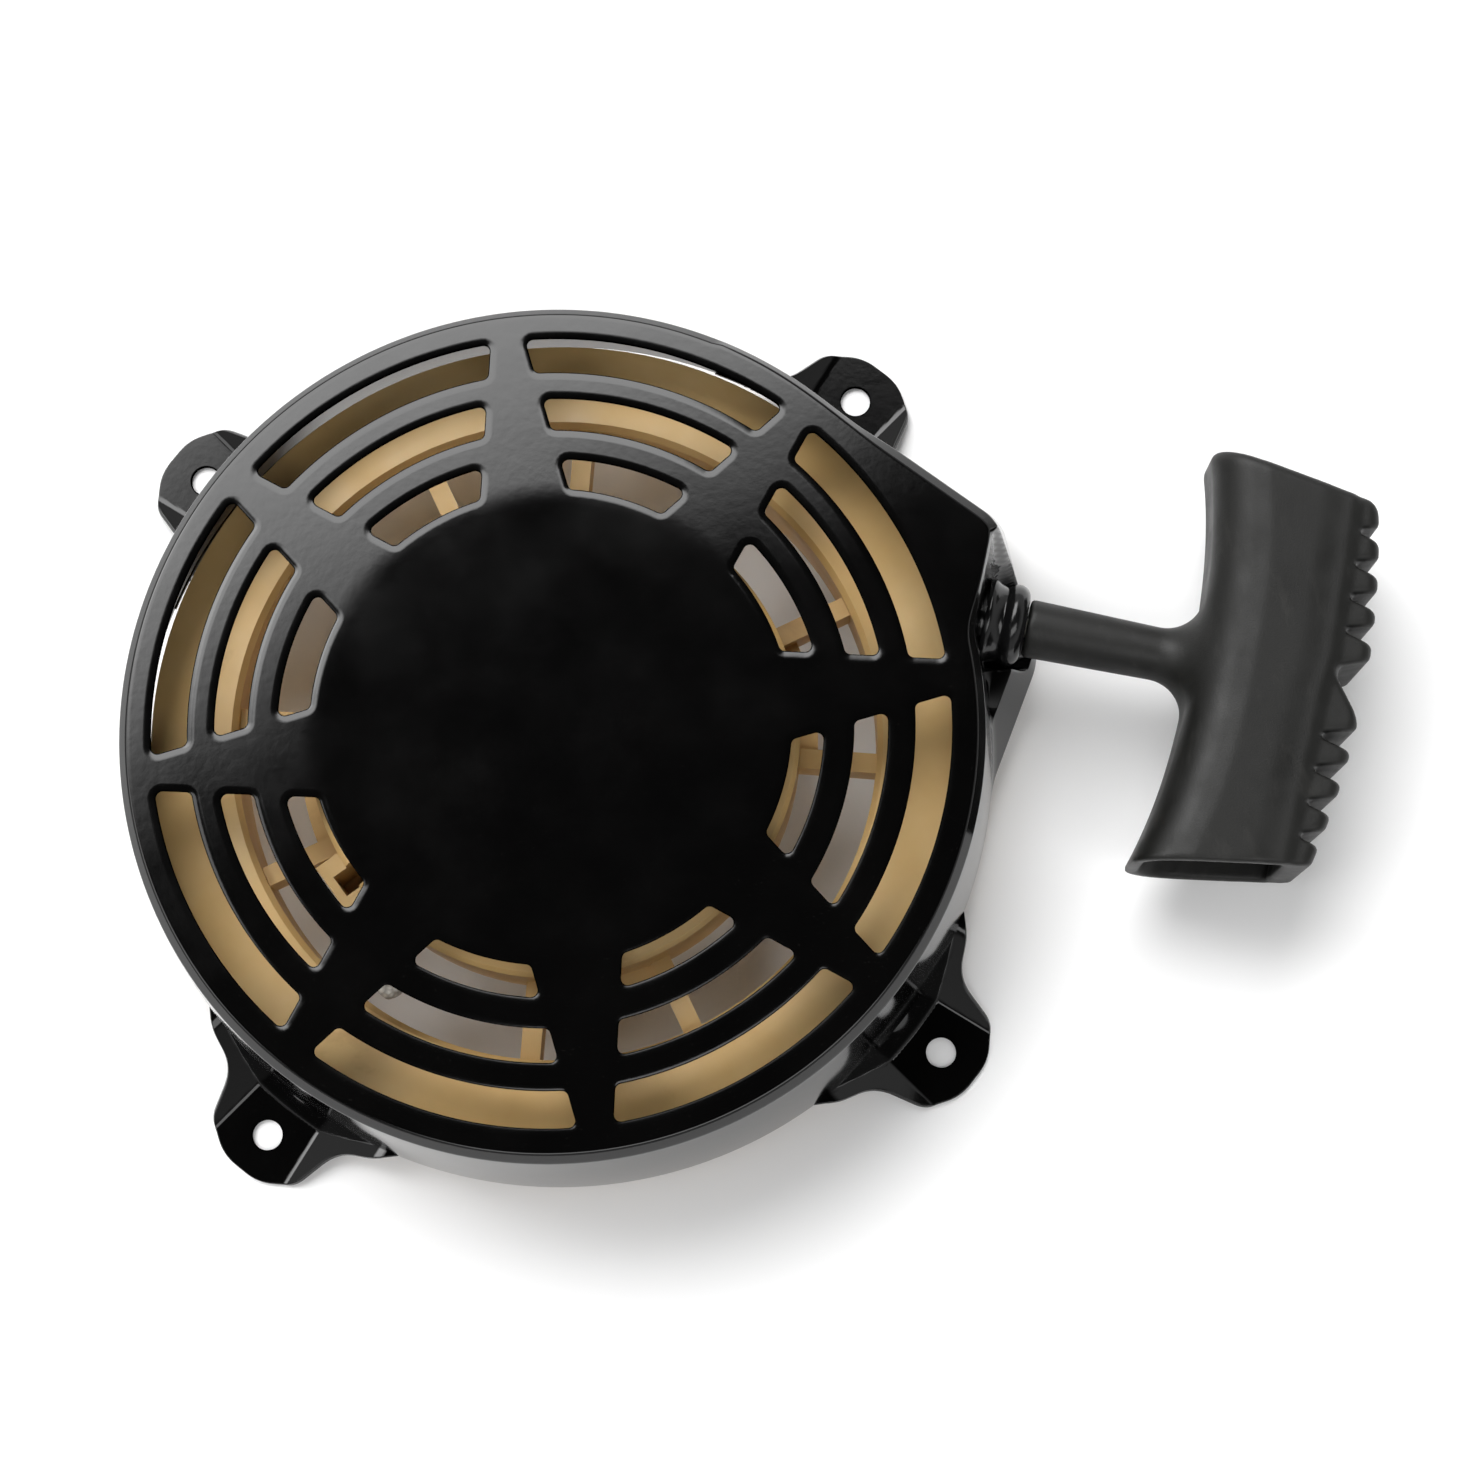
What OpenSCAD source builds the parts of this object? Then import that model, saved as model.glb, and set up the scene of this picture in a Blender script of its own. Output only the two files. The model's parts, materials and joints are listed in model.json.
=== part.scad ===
// Recoil starter for a small engine: louvred steel housing with four mounting ears,
// a rope pulley turned back by a spiral spring, two pawls worked by a friction plate,
// and a hollow T grip on the rope.
// Origin: centre of the four mounting holes, on the face that meets the engine.
// +Z points out through the louvred face; X and Y run along the square of the holes.

/* [Mounting] */
// Spacing of the four mounting holes, the same both ways
bolt_square = 155; // [153:0.5:157]
// Diameter of a mounting hole
bolt_hole_d = 6.9; // [6:0.1:8]
// Radius of an ear's outer corner
ear_corner_r = 8; // [7:0.25:9]

/* [Housing] */
// Height of the louvred face above the mounting plane
body_h = 51; // [50:0.5:54]
// Radius of the skirt at its lower edge
body_r = 98.4; // [98:0.1:99]
// Radius of the wall just under the edge of the face
shoulder_r = 94.7; // [94:0.1:95.5]
// Height of the skirt's lower edge above the mounting plane
skirt_z = 10; // [8:0.5:11]
// Thickness of the pressed sheet
sheet_t = 1.2; // [1:0.1:1.5]
// Radius of the bend between the face and the wall
edge_bend_r = 2.6; // [2:0.1:3]
// Radius of the raised centre of the face
flat_r = 50; // [46:0.5:50]
// Fall of the face from its centre to its louvred ring
face_fall = 0.6; // [0.4:0.1:1]

/* [Louvres] */
// Number of louvres in a ring
louvre_count = 8; // [8]
// Inner and outer radius of the inner ring of louvres
louvre_in = [52.6, 59.4];
// Inner and outer radius of the middle ring of louvres
louvre_mid = [66.1, 73.3];
// Inner and outer radius of the outer ring of louvres
louvre_out = [79.4, 87.2];
// Corner radius of a louvre
louvre_corner_r = 1.4; // [0.8:0.1:2]
// Half width of a spoke between louvres, at the inner ring
spoke_half_w = 9.2; // [8:0.1:10]
// How much a spoke's half width falls for each millimetre outwards
spoke_taper = 0.169; // [0.12:0.005:0.19]

/* [Rope] */
// Rope diameter
rope_d = 4.5; // [4:0.1:5]
// Turns of rope side by side in the pulley's groove
rope_across = 2; // [2]
// Layers of rope in the groove
rope_layers = 2; // [2]
// Height of the rope's path above the mounting plane
rope_z = 24; // [23.5:0.5:24.5]
// Direction in which the rope leaves, measured from +X
pull_angle = -18.7; // [-20:0.1:-17]
// Sideways distance of the rope's way out from the pulley's axis
pull_offset = 47.5; // [47:0.1:48]

/* [Pulley] */
// Outer radius of the pulley's flanges
pulley_r = 91.2; // [89:0.1:91.5]
// Radius of the groove's floor
groove_r = 74.3; // [74:0.1:75]
// Width of the groove
groove_w = 9.4; // [9.2:0.1:9.6]
// Outer radius of the spring chamber
chamber_r = 54.3; // [54:0.1:54.6]
// Height of the spring chamber's open rim above the mounting plane
chamber_top_z = 41; // [40.5:0.5:42]
// Width of one pulley spoke
pulley_spoke_w = 4.4; // [4:0.2:5]
// Angle between a pair of spokes
spoke_pair_angle = 29.6; // [28:0.2:31]

/* [Clutch] */
// Distance of a pawl's pivot from the pulley's axis
pawl_pivot_r = 22; // [22]
// Length of a pawl from its pivot to its tip
pawl_len = 20; // [19:0.25:20.5]
// Swing of a pawl from stowed to engaged
pawl_swing = 28; // [28]
// Turn of the friction plate that swings the pawls
plate_turn = 32; // [32]
// Radius of the friction plate
plate_r = 29.5; // [29:0.25:30]

/* [Grip] */
// Length of the grip's bar
grip_len = 94; // [90:1:98]
// Depth of the bar along the pull, without its finger ribs
grip_depth = 34; // [33:0.5:35]
// Thickness of the bar across the pull
grip_h = 34; // [32:0.5:35]
// Wall of the hollow bar
grip_wall = 3; // [2.6:0.1:3.2]
// Finger ribs on each half of the bar
rib_count = 5; // [5]
// Spacing of the finger ribs
rib_pitch = 7.6; // [7.2:0.1:7.8]
// Diameter of the stem where it meets the rope guide
stem_d = 13.1; // [12.5:0.1:13.5]

/* [Hidden] */
$fn = 96;
eps = 0.01;
grip_top_trim = 1.8;
far = 60;
hole_c = bolt_square / 2;

// Housing: radii and heights of the drum's outline
top_edge_r = shoulder_r - 2;
fall_run = 1.6;
face_edge_z = body_h - face_fall;
bend_z = face_edge_z - edge_bend_r;
ear_foot_r = body_r + 4.2;
ear_reach_r = 128;

// Half width that the tapered spokes would have at the centre
spoke_w0 = spoke_half_w + spoke_taper * (louvre_in[0] + louvre_in[1]) / 2;

// Snout: each side is [direction of its normal, distance at the face, distance at the skirt]
snout_sides = [[47, 92.4, 103.6], [7, 104, 111.3], [-27.8, 77, 94.4]];
snout_root = [60, 18];
// Seat of the rope guide: distance along the pull at the guide's height, and its draft
seat_d = 88.2;
seat_draft = 5.6;
seat_scoop_r = 12.4;
seat_top_w = 15.4;
scoop_side = [[seat_scoop_r, 0], [seat_top_w, body_h - rope_z], [seat_top_w, 60]];
guide_hole_r = 7.6;

// Heights of the stack on the centre post, from the mounting plane up
screw_head_z = 4;
screw_washer_z = 7.6;
spigot_z = 8.8;
plate_z = 8.9;
plate_t = 1.5;
brake_washer_z = plate_z + plate_t + 0.1;
brake_washer_t = 0.6;
post_step_z = 13.4;
ring_z = 14.6;
ring_t = 1;
post_washer_z = ring_z + ring_t;
pulley_z = 17.2;
chamber_floor_z = 20.8;
pawl_z = 11.8;
pawl_t = 4.6;
post_flange_t = 1.5;
post_top_z = body_h - sheet_t;

// Radii on the centre post
post_r = 8;
spigot_r = 5;
screw_r = 3;
run_gap = 0.05;
hub_r = 12.5;
hub_top_z = 30;
anchor_r = 16.4;
anchor_t = 1.6;
spring_in_r = anchor_r + anchor_t + 0.8;

// Rewind spring: its strip, and the spiral that it lies in
spring_turns = 7.5;
spring_steps = 24;
spring_out_r = chamber_r - 5.2;
spring_strip_t = 0.6;
spring_strip_w = 12;

// Clutch: stowed direction of a pawl, its drive pin and its pivot pin
pawl_rest_angle = -105;
drive_pin_at = 8;
drive_pin_r = 1.5;
pin_r = 2.4;

// Rope: heights and radii in the groove
groove_z = rope_z - groove_w / 2;
coil_w = rope_across * rope_d;
coil_in_r = groove_r + 0.2;
coil_out_r = coil_in_r + rope_layers * rope_d;
lead_r = coil_out_r + 0.3 + rope_d / 2;
guide_corner_d = 90;
guide_bend_r = 14;
guide_face_d = 97.5;
stem_start_d = guide_face_d + 0.3;

// Pulley rim
rim_in_r = groove_r - 2.8;
flange_t = 2.8;
first_pair = 3.6;
catch_angle = -151;
knot_angle = 228;
knot_r = 4.2;

// Grip: distances along the pull from the pulley's axis, and the bow of the bar
bar_near_d = 136;
bar_mid_d = bar_near_d + grip_depth / 2;
bar_bow = 5;
bow_r = (pow(grip_len / 2, 2) + bar_bow * bar_bow) / (2 * bar_bow);
bar_span = 15;
bar_corner_r = 13.5;
end_slant = 0.16;
rib_start = 6.4;
rib_r = 3;
stem_fillet_r = 8;

function polar(r, a) = [r * cos(a), r * sin(a)];

// Corner of two lines, each given by the direction of its normal and its distance
function line_corner(a1, d1, a2, d2) =
    [d1 * sin(a2) - d2 * sin(a1), d2 * cos(a1) - d1 * cos(a2)] / sin(a2 - a1);

// ---------------------------------------------------------------- housing

// Half outline of the drum, taken inwards by inset; the bend is a row of short cones
function drum_profile(inset) =
    let (steps = 6, bend = edge_bend_r - inset,
         centre = [top_edge_r - edge_bend_r + 0.9, bend_z])
    concat(
        [[0, body_h - inset], [flat_r, body_h - inset],
         [flat_r + fall_run, face_edge_z - inset]],
        [for (i = [0:steps]) centre + polar(max(bend, 0.6), 88 - i * 84 / steps)],
        [[shoulder_r - inset, bend_z - 1], [body_r - inset, skirt_z - (inset > 0 ? eps : 0)],
         [0, skirt_z - (inset > 0 ? eps : 0)]]);

function side_distance(side, z, inset) =
    side[1] + (side[2] - side[1]) * (body_h - z) / (body_h - skirt_z) - inset;

function snout_outline(z, inset) =
    let (s = snout_sides, d = [for (side = s) side_distance(side, z, inset)])
    [snout_root,
     polar(d[2], s[2][0]),
     line_corner(s[2][0], d[2], s[1][0], d[1]),
     line_corner(s[1][0], d[1], s[0][0], d[0]),
     polar(d[0], s[0][0])];

module snout_slab(z, inset) {
    translate([0, 0, z]) linear_extrude(eps) polygon(snout_outline(z, inset));
}

// Space in front of the rope guide's seat, scooped round under the guide
module seat_cut(inset) {
    rotate([0, 0, pull_angle])
        translate([seat_d - inset, pull_offset, rope_z])
            rotate([0, -seat_draft, 0])
                rotate([90, 0, 90])
                    linear_extrude(far) {
                        circle(seat_scoop_r + inset);
                        polygon([for (side = [-1, 1], p = side < 0 ? [2, 1, 0] : [0, 1, 2])
                                     [side * (scoop_side[p][0] + inset), scoop_side[p][1]]]);
                    }
}

module drum(inset) {
    rotate_extrude() polygon(drum_profile(inset));
}

// Bulge of the housing round the way out of the rope, its roof a little thicker than the
// sheet so that its ceiling stays clear of the drum's
module snout(inset) {
    low_z = skirt_z - (inset > 0 ? 1 : 0);
    difference() {
        hull() {
            snout_slab(face_edge_z - eps - inset * 1.25, inset);
            snout_slab(low_z, inset);
        }
        seat_cut(inset);
    }
}

// Corner of a louvre to be cut away, leaving a round of three flats: side is 1 at the
// louvre's outer edge and -1 at its inner edge
module louvre_corner(edge_r, side) {
    c = louvre_corner_r;
    slope = sqrt(1 + spoke_taper * spoke_taper);
    normal = [spoke_taper, 1] / slope;
    run = [1, -spoke_taper] / slope;
    off = spoke_w0 / slope;
    reach = edge_r - side * c;
    centre = normal * (off + c) + run * sqrt(reach * reach - (off + c) * (off + c));
    corner = normal * off + run * sqrt(edge_r * edge_r - off * off);
    from = atan2(-normal[1], -normal[0]);
    whole = (atan2(side * centre[1], side * centre[0]) - from + 540) % 360 - 180;
    low = from + whole * 0.2;
    middle = from + whole * 0.5;
    high = from + whole * 0.8;
    knee_r = c / cos(whole * 0.15);
    past = sign(whole) * (c * tan(abs(whole) * 0.1) + 0.5);
    polygon([corner + (corner - centre),
             centre + polar(c, low) - polar(past, low + 90),
             centre + polar(knee_r, (low + middle) / 2),
             centre + polar(knee_r, (middle + high) / 2),
             centre + polar(c, high) + polar(past, high + 90)]);
}

module louvre(ring) {
    half = 180 / louvre_count;
    near = [44, spoke_w0 - spoke_taper * 44];
    away = [96, spoke_w0 - spoke_taper * 96];
    difference() {
        intersection() {
            difference() {
                circle(ring[1]);
                circle(ring[0]);
            }
            polygon([for (p = [near, away]) [p[0] * cos(half) + p[1] * sin(half),
                                             p[1] * cos(half) - p[0] * sin(half)],
                     for (p = [away, near]) [p[0] * cos(half) + p[1] * sin(half),
                                             p[0] * sin(half) - p[1] * cos(half)]]);
        }
        for (flip = [0, 1])
            mirror([0, flip, 0])
                rotate(-half) {
                    louvre_corner(ring[1], 1);
                    louvre_corner(ring[0], -1);
                }
    }
}

module louvres() {
    for (k = [0:louvre_count - 1])
        rotate([0, 0, (k + 0.5) * 360 / louvre_count])
            translate([0, 0, body_h - far / 4])
                linear_extrude(far / 2) {
                    louvre(louvre_in);
                    louvre(louvre_mid);
                    louvre(louvre_out);
                }
}

// Plan outline of an ear, with the corner's diagonal along X
module ear_outline() {
    corner_p = hole_c * sqrt(2) + 4.2;
    edge = ear_corner_r / sqrt(2);
    polygon([[92, 26], [98.6, 23.6], [102.2, 15.2], [corner_p + 0.4, 12.3],
             [corner_p + edge, edge], [corner_p + edge, -edge], [corner_p + 0.4, -12.3],
             [102.2, -15.2], [98.6, -23.6], [92, -26]]);
    translate([corner_p, 0]) circle(ear_corner_r);
}

// Section of an ear: it leaves the skirt's edge, slopes down and turns out to the flat pad
function ear_profile() =
    let (root_r = body_r - sheet_t / 2, lap = 1.5, drop = 0.2)
    [[root_r, skirt_z + lap], [body_r + 0.35, skirt_z - drop], [ear_foot_r, sheet_t],
     [ear_reach_r, sheet_t], [ear_reach_r, 0], [ear_foot_r - 0.7, 0],
     [root_r - 0.15, skirt_z - drop], [root_r - 0.2, skirt_z + lap - 0.5]];

module ear() {
    intersection() {
        rotate([0, 0, -20])
            rotate_extrude(angle = 40)
                polygon(ear_profile());
        linear_extrude(skirt_z + 3) ear_outline();
    }
}

// The pressed sheet: the drum and its snout, each opened where the other is hollow
module pressed_sheet() {
    difference() {
        drum(0);
        drum(sheet_t);
        louvres();
        snout(sheet_t);
    }
    difference() {
        snout(0);
        snout(sheet_t);
        drum(sheet_t);
        cylinder(r = louvre_out[1] + 1.2, h = 2 * far);
    }
}

module housing() {
    color("#141416")
        difference() {
            union() {
                pressed_sheet();
                for (k = [0:3]) rotate([0, 0, 45 + 90 * k]) ear();
            }
            for (x = [-1, 1], y = [-1, 1])
                translate([x * hole_c, y * hole_c, -1])
                    cylinder(d = bolt_hole_d, h = sheet_t + 2);
            rotate([0, 0, pull_angle])
                translate([seat_d - far / 5, pull_offset, rope_z])
                    rotate([0, 90, 0])
                        cylinder(r = guide_hole_r, h = far / 3);
        }
}

// ------------------------------------------------------- rope guide and post

// Ring through which the rope leaves, flared at both ends and swaged behind the sheet
module rope_guide() {
    inside = seat_d - sheet_t - 1;
    outside = seat_d + 1;
    back = inside - 2.2;
    color("#08080a")
        rotate([0, 0, pull_angle])
            translate([0, pull_offset, rope_z])
                rotate([0, 90, 0])
                    rotate_extrude() {
                        polygon([[3.3, guide_corner_d], [6.6, back], [8.8, back], [8.8, inside],
                                 [guide_hole_r - 0.2, inside], [guide_hole_r - 0.2, outside],
                                 [9.3, outside], [9.3, outside + 0.9], [7.2, outside + 1.7],
                                 [7.2, guide_face_d - 3],
                                 [5.2, guide_face_d - 1.2], [3.3, guide_face_d - 3.4]]);
                        translate([7.1, guide_face_d - 2.3]) circle(2.2);
                    }
}

// Steel post welded under the face, stepped down to a spigot for the friction plate
module centre_post() {
    color("#9a9c9e")
        difference() {
            rotate_extrude()
                polygon([[0, spigot_z], [spigot_r, spigot_z], [spigot_r, post_step_z],
                         [post_r, post_step_z], [post_r, ring_z], [post_r - 1, ring_z],
                         [post_r - 1, ring_z + ring_t], [post_r, ring_z + ring_t],
                         [post_r, post_top_z - post_flange_t], [14, post_top_z - post_flange_t],
                         [14, post_top_z], [0, post_top_z]]);
            translate([0, 0, spigot_z - 1]) cylinder(r = screw_r, h = 24);
        }
}

// Bent strip welded under the face, which the inner end of the spring hooks on
module spring_anchor() {
    color("#8d9093") {
        translate([anchor_r, -4, chamber_floor_z + 4]) cube([anchor_t, 8, post_top_z - chamber_floor_z - 4]);
        translate([anchor_r, -4, post_top_z - 1.6]) cube([14, 8, 1.6]);
    }
}

// -------------------------------------------------------------------- pulley

module pulley_spoke() {
    translate([chamber_r - 1, -pulley_spoke_w / 2, pulley_z + 3])
        cube([rim_in_r - chamber_r + 2, pulley_spoke_w, 9]);
}

// Small box moulded on the chamber's wall, with the slot that the spring's end hooks in
module catch_lobe() {
    translate([chamber_r - 1.5, -6.5, pulley_z]) cube([7, 13, chamber_top_z - pulley_z - 3]);
}

module pulley_bores() {
    translate([0, 0, pulley_z - 1]) cylinder(r = post_r + run_gap, h = far);
    for (x = [-1, 1])
        translate([x * pawl_pivot_r, 0, pulley_z - 1]) cylinder(r = 2.5, h = 3.6);
    rotate([0, 0, knot_angle])
        translate([rim_in_r - 2, 0, rope_z])
            rotate([0, 90, 0])
                cylinder(d = rope_d + 0.5, h = 6);
}

module pulley() {
    groove_top_z = rope_z + groove_w / 2;
    color("#d0a877")
        difference() {
            union() {
                rotate_extrude() {
                    translate([post_r, pulley_z]) square([hub_r - post_r, hub_top_z - pulley_z]);
                    polygon([[post_r, pulley_z], [chamber_r - 0.8, pulley_z], [chamber_r, pulley_z + 2],
                             [chamber_r, chamber_top_z - 1], [chamber_r - 1, chamber_top_z],
                             [chamber_r - 3.4, chamber_top_z], [chamber_r - 3.4, chamber_floor_z],
                             [post_r, chamber_floor_z]]);
                    polygon([[rim_in_r, groove_z - flange_t], [pulley_r - 1, groove_z - flange_t],
                             [pulley_r, groove_z - flange_t + 1], [pulley_r, groove_z],
                             [groove_r, groove_z], [groove_r, groove_top_z], [pulley_r, groove_top_z],
                             [pulley_r, groove_top_z + 1.4], [rim_in_r + 1.2, groove_top_z + flange_t + 1.6],
                             [rim_in_r, groove_top_z + flange_t]]);
                }
                for (k = [0:3], side = [-1, 1])
                    rotate([0, 0, first_pair + 90 * k + side * spoke_pair_angle / 2]) pulley_spoke();
                for (k = [0:3])
                    rotate([0, 0, first_pair + 90 * k - spoke_pair_angle / 2])
                        rotate_extrude(angle = spoke_pair_angle)
                            translate([chamber_r - 1, pulley_z + 1]) square([5, 8]);
                rotate([0, 0, catch_angle]) catch_lobe();
            }
            pulley_bores();
            rotate([0, 0, catch_angle])
                translate([chamber_r - 4, -2.6, chamber_floor_z + 2])
                    cube([7.5, 5.2, far]);
        }
}

// Pressed cup that holds the coiled spring inside the pulley's chamber
module spring_keeper() {
    keeper_r = chamber_r - 3.6;
    floor_z = chamber_floor_z + 0.1;
    color("#a7aaad")
        difference() {
            translate([0, 0, floor_z]) cylinder(r = keeper_r, h = chamber_top_z - floor_z - 1.5);
            translate([0, 0, floor_z + 0.8]) cylinder(r = keeper_r - 0.8, h = far);
            translate([0, 0, floor_z - 1]) cylinder(r = hub_r + 1, h = 3);
            rotate([0, 0, catch_angle])
                translate([keeper_r - 3, -2.2, floor_z + 2]) cube([6, 4.4, far]);
        }
}

// Spiral of flat steel: most of it lies coiled against the keeper, and the inner
// turns open out towards the anchor
function spring_r(turn) =
    spring_in_r + (spring_out_r - spring_in_r) * pow(turn / spring_turns, 0.6);
function spring_point(turn, off) = polar(spring_r(turn) + off, turn * 360);

module rewind_spring() {
    count = spring_turns * spring_steps;
    outer = [for (i = [0:count]) spring_point(i / spring_steps, spring_strip_t / 2)];
    inner = [for (i = [count:-1:0]) spring_point(i / spring_steps, -spring_strip_t / 2)];
    color("#55595e")
        translate([0, 0, chamber_floor_z + 3])
            linear_extrude(spring_strip_w) polygon(concat(outer, inner));
}

module post_washer() {
    color("#c9cbcc")
        translate([0, 0, post_washer_z + 0.05])
            difference() {
                cylinder(r = 12, h = pulley_z - post_washer_z - 0.1);
                translate([0, 0, -1]) cylinder(r = post_r + 0.1, h = 4);
            }
}

// Split ring in the post's groove, which keeps the pulley on the post
module retaining_ring() {
    color("#6d7073")
        translate([0, 0, ring_z + 0.05])
            difference() {
                cylinder(r = 10.5, h = ring_t - 0.1);
                translate([0, 0, -1]) cylinder(r = post_r - 0.9, h = 3);
                translate([0, -2, -1]) cube([14, 4, 3]);
            }
}

// ---------------------------------------------------------------------- rope

module rope_coil() {
    color("#e9e6dc")
        rotate_extrude()
            translate([coil_in_r, rope_z - coil_w / 2])
                square([coil_out_r - coil_in_r, coil_w]);
}

// Route of the rope that has left the coil, seen in plan: round the coil, straight to
// the guide, and round a bend in it to the direction of the pull
function lead_route() =
    let (wrap_angle = 34,
         corner = polar(guide_corner_d, pull_angle) + polar(pull_offset, pull_angle + 90),
         leave_angle = atan2(corner[1], corner[0]) + acos(lead_r / norm(corner)),
         turn = pull_angle - (leave_angle - 90),
         cut = guide_bend_r * tan(turn / 2),
         bend_start = corner + polar(cut, leave_angle + 90),
         bend_centre = bend_start + polar(guide_bend_r, leave_angle))
    concat([for (i = [0:7]) polar(lead_r, leave_angle + wrap_angle * (1 - i / 7))],
           [for (i = [0:5]) bend_centre + polar(guide_bend_r, leave_angle + 180 + turn * i / 5)],
           [corner + polar(guide_face_d - guide_corner_d, pull_angle)]);

// Tube along a flat route at the rope's height
module flat_tube(route, sides) {
    last = len(route) - 1;
    function heading(i) =
        let (step = route[min(i + 1, last)] - route[max(i - 1, 0)]) atan2(step[1], step[0]);
    rings = [for (i = [0:last], k = [0:sides - 1])
        let (side = rope_d / 2 * cos(k * 360 / sides), up = rope_d / 2 * sin(k * 360 / sides))
        [route[i][0] - side * sin(heading(i)), route[i][1] + side * cos(heading(i)), rope_z + up]];
    walls = [for (i = [0:last - 1], k = [0:sides - 1])
        let (next = (k + 1) % sides)
        [i * sides + k, i * sides + next, (i + 1) * sides + next, (i + 1) * sides + k]];
    first_end = [for (k = [sides - 1:-1:0]) k];
    last_end = [for (k = [0:sides - 1]) last * sides + k];
    polyhedron(points = rings, faces = concat(walls, [first_end], [last_end]));
}

module rope_lead() {
    color("#e9e6dc") flat_tube(lead_route(), 12);
}

// Frame of the grip: X along the pull, Y along the bar, Z as the housing's
module grip_frame() {
    rotate([0, 0, pull_angle]) translate([0, pull_offset, rope_z]) children();
}

module rope_in_grip() {
    color("#e9e6dc")
        grip_frame()
            translate([guide_face_d + 0.1, 0, 0])
                rotate([0, 90, 0])
                    cylinder(d = rope_d, h = bar_near_d + grip_wall + 3 - guide_face_d);
}

module pulley_knot() {
    knot_at = rim_in_r - knot_r - 0.4;
    color("#e9e6dc")
        rotate([0, 0, knot_angle])
            translate([knot_at, 0, rope_z]) {
                sphere(knot_r);
                rotate([0, 90, 0]) cylinder(d = rope_d, h = coil_in_r - 0.05 - knot_at);
            }
}

module grip_knot() {
    color("#e9e6dc")
        grip_frame()
            translate([bar_near_d + grip_wall + 3 + 4.6, 0, 0])
                rotate([0, 90, 0]) {
                    cylinder(r = 4.8, h = 5.4, center = true);
                    translate([0, 0, -2.7]) sphere(3.6);
                    translate([0, 0, 2.7]) sphere(3.6);
                }
}

// ---------------------------------------------------------------------- grip

// Section across the bar: a rectangle with well rounded corners
module bar_section(inset) {
    w = grip_depth / 2 - inset;
    h = grip_h / 2 - inset;
    r = bar_corner_r - inset;
    for (x = [-1, 1], z = [-1, 1]) translate([x * (w - r), z * (h - r)]) circle(r);
    square([2 * w, 2 * (h - r)], center = true);
    square([2 * (w - r), 2 * h], center = true);
}

// The bar swept along its bow, longer than the grip at both ends
module bar_sweep(inset) {
    translate([bar_mid_d - bow_r, 0, 0])
        rotate([0, 0, -bar_span])
            rotate_extrude(angle = 2 * bar_span)
                translate([bow_r, 0]) bar_section(inset);
}

// Room between the slanted ends of the bar, taken in at the closed end
module bar_ends(low_out, high_in) {
    half = grip_len / 2 + 2.3;
    from = bar_near_d - 20;
    to = bar_near_d + 50;
    slant = end_slant * (to - from);
    translate([0, 0, -far / 2])
        linear_extrude(far)
            polygon([[from, -half - low_out], [to, slant - half - low_out],
                     [to, half - slant - high_in], [from, half - high_in]]);
}

// Finger ribs stand on the far side of the bar, in two rows with a gap at the stem
module grip_ribs() {
    for (i = [0:rib_count - 1], side = [-1, 1])
        translate([bar_mid_d - bow_r, 0, 0])
            rotate([0, 0, side * (rib_start + i * rib_pitch) * 180 / (PI * (bow_r + grip_depth / 2))])
                translate([bow_r + grip_depth / 2 - 0.6, 0, 0])
                    cylinder(r = rib_r, h = grip_h - 14, center = true);
}

module grip_stem() {
    translate([stem_start_d, 0, 0])
        rotate([0, 90, 0])
            cylinder(d1 = stem_d, d2 = stem_d - 1, h = bar_near_d - stem_start_d + 2);
    translate([bar_near_d - stem_fillet_r + 0.6, 0, 0])
        rotate([0, 90, 0])
            rotate_extrude()
                difference() {
                    square([stem_d / 2 + stem_fillet_r - 1.2, stem_fillet_r + 1]);
                    translate([stem_d / 2 + stem_fillet_r - 0.7, 0]) circle(stem_fillet_r);
                }
}

module grip() {
    color("#2a2a2c")
        grip_frame()
            difference() {
                union() {
                    intersection() {
                        bar_sweep(0);
                        bar_ends(0, grip_top_trim);
                    }
                    grip_ribs();
                    grip_stem();
                }
                intersection() {
                    bar_sweep(grip_wall);
                    bar_ends(10, grip_top_trim + grip_wall);
                }
                translate([stem_start_d - 1, 0, 0])
                    rotate([0, 90, 0])
                        cylinder(d = rope_d + 0.6, h = bar_near_d - stem_start_d + grip_wall + 3);
            }
}

// Steel washer that spreads the knot's pull inside the hollow bar
module grip_washer() {
    color("#8f9295")
        grip_frame()
            translate([bar_near_d + grip_wall + 0.7, 0, 0])
                rotate([0, 90, 0])
                    difference() {
                        cylinder(r = 6.8, h = 1.6);
                        translate([0, 0, -1]) cylinder(d = rope_d + 0.6, h = 4);
                    }
}

// -------------------------------------------------------------------- clutch

module pawl() {
    tip = pawl_len;
    translate([pawl_pivot_r, 0, 0]) {
        difference() {
            union() {
                translate([0, 0, pawl_z]) cylinder(r = 5, h = pawl_t);
                rotate([0, 0, pawl_rest_angle])
                    translate([0, 0, pawl_z + 0.2])
                        linear_extrude(pawl_t - 0.4)
                            polygon([[0, -4.6], [tip - 6, -3.4], [tip, 1.2], [tip - 0.6, 3.2],
                                     [tip - 8, 3.6], [0, 4.8]]);
                rotate([0, 0, pawl_rest_angle])
                    translate([drive_pin_at, 0, plate_z - 0.6])
                        cylinder(r = drive_pin_r, h = pawl_z - plate_z + 2);
            }
            translate([0, 0, pawl_z - 1]) cylinder(r = pin_r + run_gap, h = pawl_t + 2);
        }
    }
}

module pawl_a() {
    color("#74777b") pawl();
}

module pawl_b() {
    color("#74777b") rotate([0, 0, 180]) pawl();
}

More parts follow.
